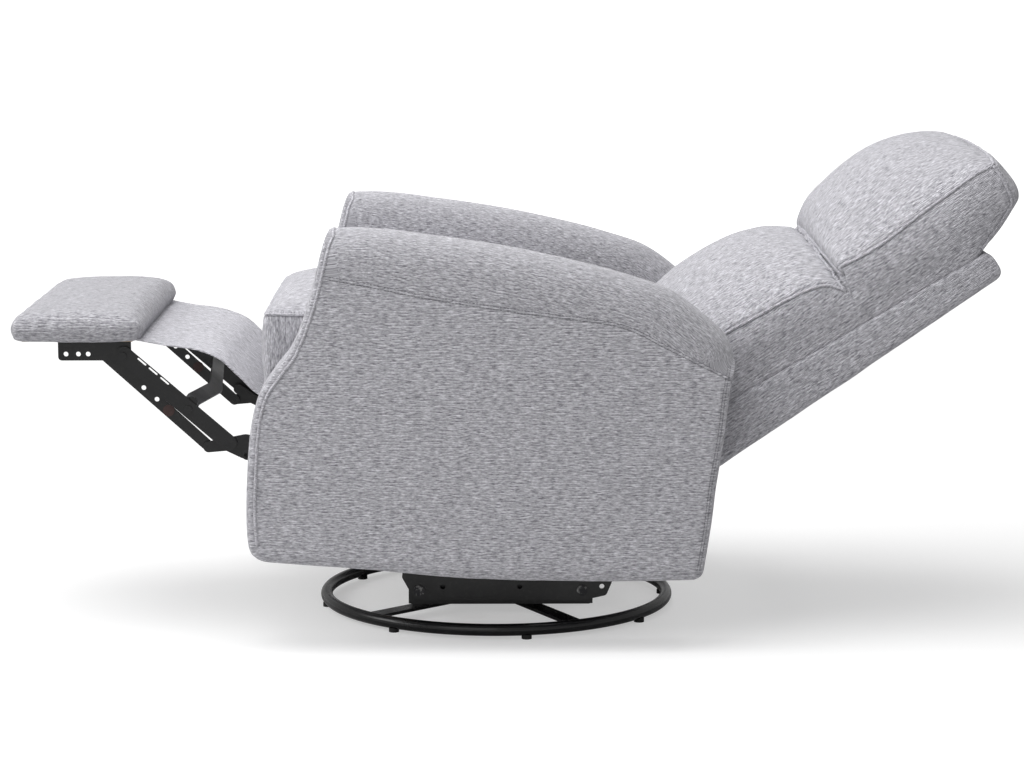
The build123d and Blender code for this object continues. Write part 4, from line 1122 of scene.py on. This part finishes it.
backLook = {
    "half": 0.262, "marks": (0.008, 0.3125, 0.605), "steps": 40, "bulge": 0.004, "archPower": 0.85,
    "crease": 0.3125, "creasePipe": 0.0030, "endBow": [(0.09, 0.017), (0.125, 0.015), (0.155, 0.009), (0.21, 0.006)],
    "bowStart": 0.52, "bowLength": 0.08, "bowPower": 8, "sunk": 0.006, "floorMarks": (0.008, 0.2, 0.4, 0.500),
    "over": [(0.513, 0.045), (0.550, 0.057), (0.588, 0.075), (0.599, 0.083), (0.605, 0.098)],
    "welt": [(0.008, 0.130), (0.016, 0.142), (0.032, 0.156), (0.070, 0.164), (0.120, 0.168), (0.165, 0.164),
             (0.220, 0.159), (0.265, 0.152), (0.291, 0.142), (0.3035, 0.128), (0.3125, 0.118), (0.3165, 0.148),
             (0.3215, 0.154), (0.357, 0.150), (0.405, 0.148), (0.450, 0.151), (0.500, 0.154),
             (0.545, 0.156), (0.575, 0.156), (0.605, 0.152)],
    "crown": [(0.008, 0.200), (0.016, 0.223), (0.032, 0.240), (0.070, 0.251), (0.120, 0.257), (0.165, 0.256),
              (0.220, 0.248), (0.265, 0.231), (0.290, 0.214), (0.304, 0.203), (0.3125, 0.188), (0.319, 0.203),
              (0.337, 0.220), (0.365, 0.232), (0.405, 0.240), (0.450, 0.244), (0.490, 0.241), (0.532, 0.228),
              (0.561, 0.212), (0.588, 0.188), (0.605, 0.168)],
    "pull": [(0.008, 0.012), (0.016, 0.003), (0.032, 0.0), (0.150, 0.002), (0.265, 0.0), (0.3125, 0.0015),
             (0.335, 0.0), (0.45, 0.002), (0.575, 0.001), (0.605, 0.002)],
    "creaseDrop": [(0.3130, 0.150), (0.3165, 0.110)],
    "endSeam": [(0.6000, 0.151), (0.5995, 0.122), (0.594, 0.086), (0.584, 0.075), (0.550, 0.0585), (0.518, 0.048)],
    "dropSteps": 30, "endSeamSteps": 60, "footInset": 0.006, "headInset": 0.004,
    "underHold": 0.03, "endHold": 0.02, "foldHold": 0.025, "sideHold": (0.5, 0.02),
    "weltPress": (0.0020, 0.0045, 0.0011, 3.1), "foldPress": (0.0042, 0.0028, 0.0015, 4.3),
    "bumps": (0.0009, 0.06, 5.7), "voxel": 0.0056, "smoothing": 2, "cap": 0.004, "pipe": 0.0024, "pipeLift": 0.35,
}


def slabTop(along):  # how deep the slab's face lies under the cushions
    look = slabLook
    return lerp(look["deepLow"], look["deepHigh"], (along - look["low"]) / (look["high"] - look["low"]))


def cushionPoint(x, along, deep):  # the head end bows outwards in its middle
    look = backLook
    inside = 1 - min(1, abs(x) / look["half"]) ** look["bowPower"]
    bow = table(look["endBow"], deep) * smoothStep((along - look["bowStart"]) / look["bowLength"]) * inside
    return backPoint(x, along + bow, deep)


def cutCushion(piece, name, along, keepLow):
    # keeps one side of the crease and closes the cut
    mesh = piece.data.copy()
    half = newObject(name, mesh)
    work = bmesh.new()
    work.from_mesh(mesh)
    way = backBasis @ Vector((0, 1, 0))
    cut = bmesh.ops.bisect_plane(work, geom=work.verts[:] + work.edges[:] + work.faces[:], dist=1e-6,
                                 plane_co=backPoint(0, along, 0), plane_no=way, clear_outer=keepLow,
                                 clear_inner=not keepLow)
    edges = [e for e in cut["geom_cut"] if isinstance(e, bmesh.types.BMEdge)]
    cap = bmesh.ops.triangle_fill(work, use_beauty=True, use_dissolve=False, edges=edges,
                                  normal=way if keepLow else -way)
    for face in cap["geom"]:
        if isinstance(face, bmesh.types.BMFace):
            face.smooth = False
    work.to_mesh(mesh)
    work.free()
    return half


def makeBackCushions(look):
    look["low"] = [(v, slabTop(v) - look["sunk"]) for v in look["floorMarks"]] + look["over"]
    whole = stuffedBody("backCushions", look, cushionPoint)
    start, end, crease, pipe = look["marks"][0], look["marks"][2], look["crease"], look["creasePipe"]

    def still(p):  # the underside, both ends and the crease keep their place
        local = backBasis.transposed() @ (p - Vector((0, *backFoot)))
        return max(near(local.z - slabTop(local.y), look["underHold"]),
                   near(min(local.y - start, end - local.y), look["endHold"]),
                   near(abs(local.y - crease), look["foldHold"]), sideHold(look, local.x))

    finishCushion(whole, look, still)
    first, last = start + look["footInset"], end - look["headInset"]
    lumbarWelts = [weltPath(look, cushionPoint, side, first, crease - pipe) for side in (-1, 1)]
    lumbarWelts.append(endPath(look, cushionPoint, crease - pipe))
    headWelts = [weltPath(look, cushionPoint, side, crease + pipe, last) for side in (-1, 1)]
    headWelts += [endPath(look, cushionPoint, v) for v in (crease + pipe, last)]
    endSeams, drops = [[[cushionPoint(side * look["half"], p.x, p.y) for p in line] for side in (-1, 1)]
                       for line in (curveThrough(look["endSeam"], look["endSeamSteps"]),
                                    curveThrough(look["creaseDrop"], look["dropSteps"]))]
    lumbarWelts, headWelts = laid(whole, lumbarWelts), laid(whole, headWelts + endSeams)
    fold = laid(whole, [endPath(look, cushionPoint, crease)])
    pressSeams(whole, lumbarWelts + headWelts, *look["weltPress"])
    pressSeams(whole, fold + laid(whole, drops), *look["foldPress"])
    softNoise(whole, *look["bumps"])
    made = []
    for name, welts, keepLow in (("lumbarCushion", lumbarWelts, True), ("headCushion", headWelts, False)):
        piping = tubePiece(name + "Welt", laid(whole, welts, look["pipe"] * look["pipeLift"]), look["pipe"])
        piece = cutCushion(whole, name, crease, keepLow)
        for p in (piece, piping):
            weaveMap(p, backBasis)
        dress(piping, pipingCloth, "back")
        made.append(piece)
    bpy.data.objects.remove(whole)
    return made


lumbar, head = makeBackCushions(backLook)
for piece, node in ((lumbar, "lumbar_cushion"), (head, "head_cushion")):
    dress(piece, greyCloth, "back", [node])
print("back cushions done:", len(head.data.polygons), len(lumbar.data.polygons))


seatLook = {
    "half": 0.262, "marks": (-0.360, 0.112), "steps": 60, "bulge": 0.003, "archPower": 0.9,
    "low": [(-0.360, 0.388), (-0.355, 0.384), (-0.340, 0.382), (0.107, 0.382), (0.112, 0.388)],
    "welt": [(-0.360, 0.503), (-0.355, 0.507), (-0.300, 0.507), (0.107, 0.507), (0.112, 0.497)],
    "crown": [(-0.360, 0.507), (-0.356, 0.513), (-0.346, 0.5215), (-0.326, 0.530), (-0.298, 0.5365),
              (-0.25, 0.542), (-0.12, 0.545), (0.052, 0.542), (0.092, 0.531), (0.107, 0.517), (0.112, 0.505)],
    "pull": [(-0.360, 0.008), (-0.355, 0.003), (-0.342, 0.0), (-0.12, 0.002), (0.09, 0.0), (0.107, 0.003),
             (0.112, 0.010)],
    "weltEnds": (-0.3575, 0.10), "frontWelt": (0.258, -0.3585, 0.507), "frontArch": 0.002, "frontSteps": 60,
    "underside": 0.382, "rear": 0.112, "underHold": 0.03, "endHold": 0.02, "sideHold": (0.6, 0.02),
    "weltPress": (0.002, 0.0055, 0.0012, 8.0), "bumps": (0.0009, 0.06, 8.0),
    "voxel": 0.006, "smoothing": 2, "cap": 0.004, "pipe": 0.0024, "pipeLift": 0.5,
}


def seatPoint(x, along, up):
    return Vector((x, along, up))


def makeSeat(look):
    piece = stuffedBody("seatCushion", look, seatPoint)

    def still(p):  # the underside and the rear end keep their place
        return max(near(p.z - look["underside"], look["underHold"]), near(look["rear"] - p.y, look["endHold"]),
                   sideHold(look, p.x))

    finishCushion(piece, look, still)
    welts = [weltPath(look, seatPoint, side, *look["weltEnds"]) for side in (-1, 1)]
    (half, front, height), steps = look["frontWelt"], look["frontSteps"]
    welts.append([Vector((lerp(-half, half, i / steps), front, height + look["frontArch"] * sin(pi * i / steps)))
                  for i in range(steps + 1)])
    welts = laid(piece, welts)
    pressSeams(piece, welts, *look["weltPress"])
    softNoise(piece, *look["bumps"])
    piping = tubePiece("seatWelt", laid(piece, welts, look["pipe"] * look["pipeLift"]), look["pipe"])
    weaveMap(piping)
    dress(piping, pipingCloth, "chassis")
    piece["upright"] = True
    weaveMap(piece)
    return piece


seat = makeSeat(seatLook)
dress(seat, greyCloth, "chassis", ["seat_cushion"])
print("seat done:", len(seat.data.polygons))


padLook = {
    "half": 0.263, "marks": (-0.748, -0.540), "steps": 44, "bulge": 0.005, "archPower": 0.25,
    "low": [(-0.748, 0.475), (-0.743, 0.466), (-0.734, 0.4606), (-0.554, 0.4606), (-0.545, 0.466), (-0.540, 0.475)],
    "welt": [(-0.748, 0.482), (-0.743, 0.489), (-0.734, 0.492), (-0.554, 0.492), (-0.545, 0.489), (-0.540, 0.482)],
    "crown": [(-0.748, 0.485), (-0.743, 0.495), (-0.734, 0.502), (-0.699, 0.508), (-0.643, 0.510), (-0.588, 0.508),
              (-0.554, 0.502), (-0.545, 0.495), (-0.540, 0.485)],
    "pull": [(-0.748, 0.018), (-0.745, 0.011), (-0.739, 0.005), (-0.728, 0.0), (-0.560, 0.0), (-0.549, 0.005),
             (-0.543, 0.011), (-0.540, 0.018)],
    "underside": 0.4595, "underHold": 0.02, "bumps": (0.0008, 0.05, 12.0),
    "voxel": 0.005, "smoothing": 3, "cap": 0.004,
}


def makePad(look):
    piece = stuffedBody("footrestPad", look, seatPoint)
    finishCushion(piece, look, lambda p: near(p.z - look["underside"], look["underHold"]))
    softNoise(piece, *look["bumps"])
    weaveMap(piece)
    return piece


pad = makePad(padLook)
dress(pad, padClothPaintedShade, "footrest", ["footrest_pad"])
print("footrest pad done:", len(pad.data.polygons))


# the flap of cloth between the footrest and the seat

flapLook = {
    "line": [(-0.556, 0.463), (-0.512, 0.4545), (-0.477, 0.4495), (-0.450, 0.4435), (-0.424, 0.4315),
             (-0.400, 0.409), (-0.372, 0.381), (-0.345, 0.370), (-0.318, 0.368)],
    "half": 0.252, "thick": 0.0022, "across": 84, "along": 64, "rimStart": 0.88, "rimShare": 0.12, "rimRise": 0.0014,
    "waveRise": 0.0022, "waveAcross": 9, "waveAlong": 0.09, "waveSeed": 3.0,
}


def makeFlap(look):
    line = curveThrough(look["line"], look["along"])
    points, faces = [], []
    for level in (0, 1):
        for i, p in enumerate(line):
            along = direction(line, i)
            up = Vector((-along.y, along.x))
            if up.y < 0:
                up = -up
            free = sin(pi * i / look["along"])
            for k in range(look["across"] + 1):
                x = lerp(-look["half"], look["half"], k / look["across"])
                rim = max(0.0, abs(x) / look["half"] - look["rimStart"]) / look["rimShare"]
                wave = noise.noise(Vector((x * look["waveAcross"], i * look["waveAlong"], look["waveSeed"])))
                lift = level * look["thick"] + look["waveRise"] * wave * free + look["rimRise"] * rim * rim
                points.append(Vector((x, p.x + up.x * lift, p.y + up.y * lift)))
    width, tall = look["across"] + 1, look["along"] + 1
    layer = width * tall
    for i in range(tall - 1):
        for k in range(width - 1):
            a = i * width + k
            faces.append((a + layer, a + layer + 1, a + layer + width + 1, a + layer + width))
            faces.append((a, a + width, a + width + 1, a + 1))
    rim = border(width, tall)
    faces += [(a, b, b + layer, a + layer) for a, b in zip(rim, rim[1:] + rim[:1])]
    piece = meshPiece("footrestFlap", points, faces)
    fixNormals(piece)
    weaveMap(piece)
    return piece, lineLength(line)


flap, flapLength = makeFlap(flapLook)
dress(flap, flapClothPaintedLight, "chassis", ["footrest_flap"])
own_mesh(flap)
print("flap done: length", round(flapLength, 4))
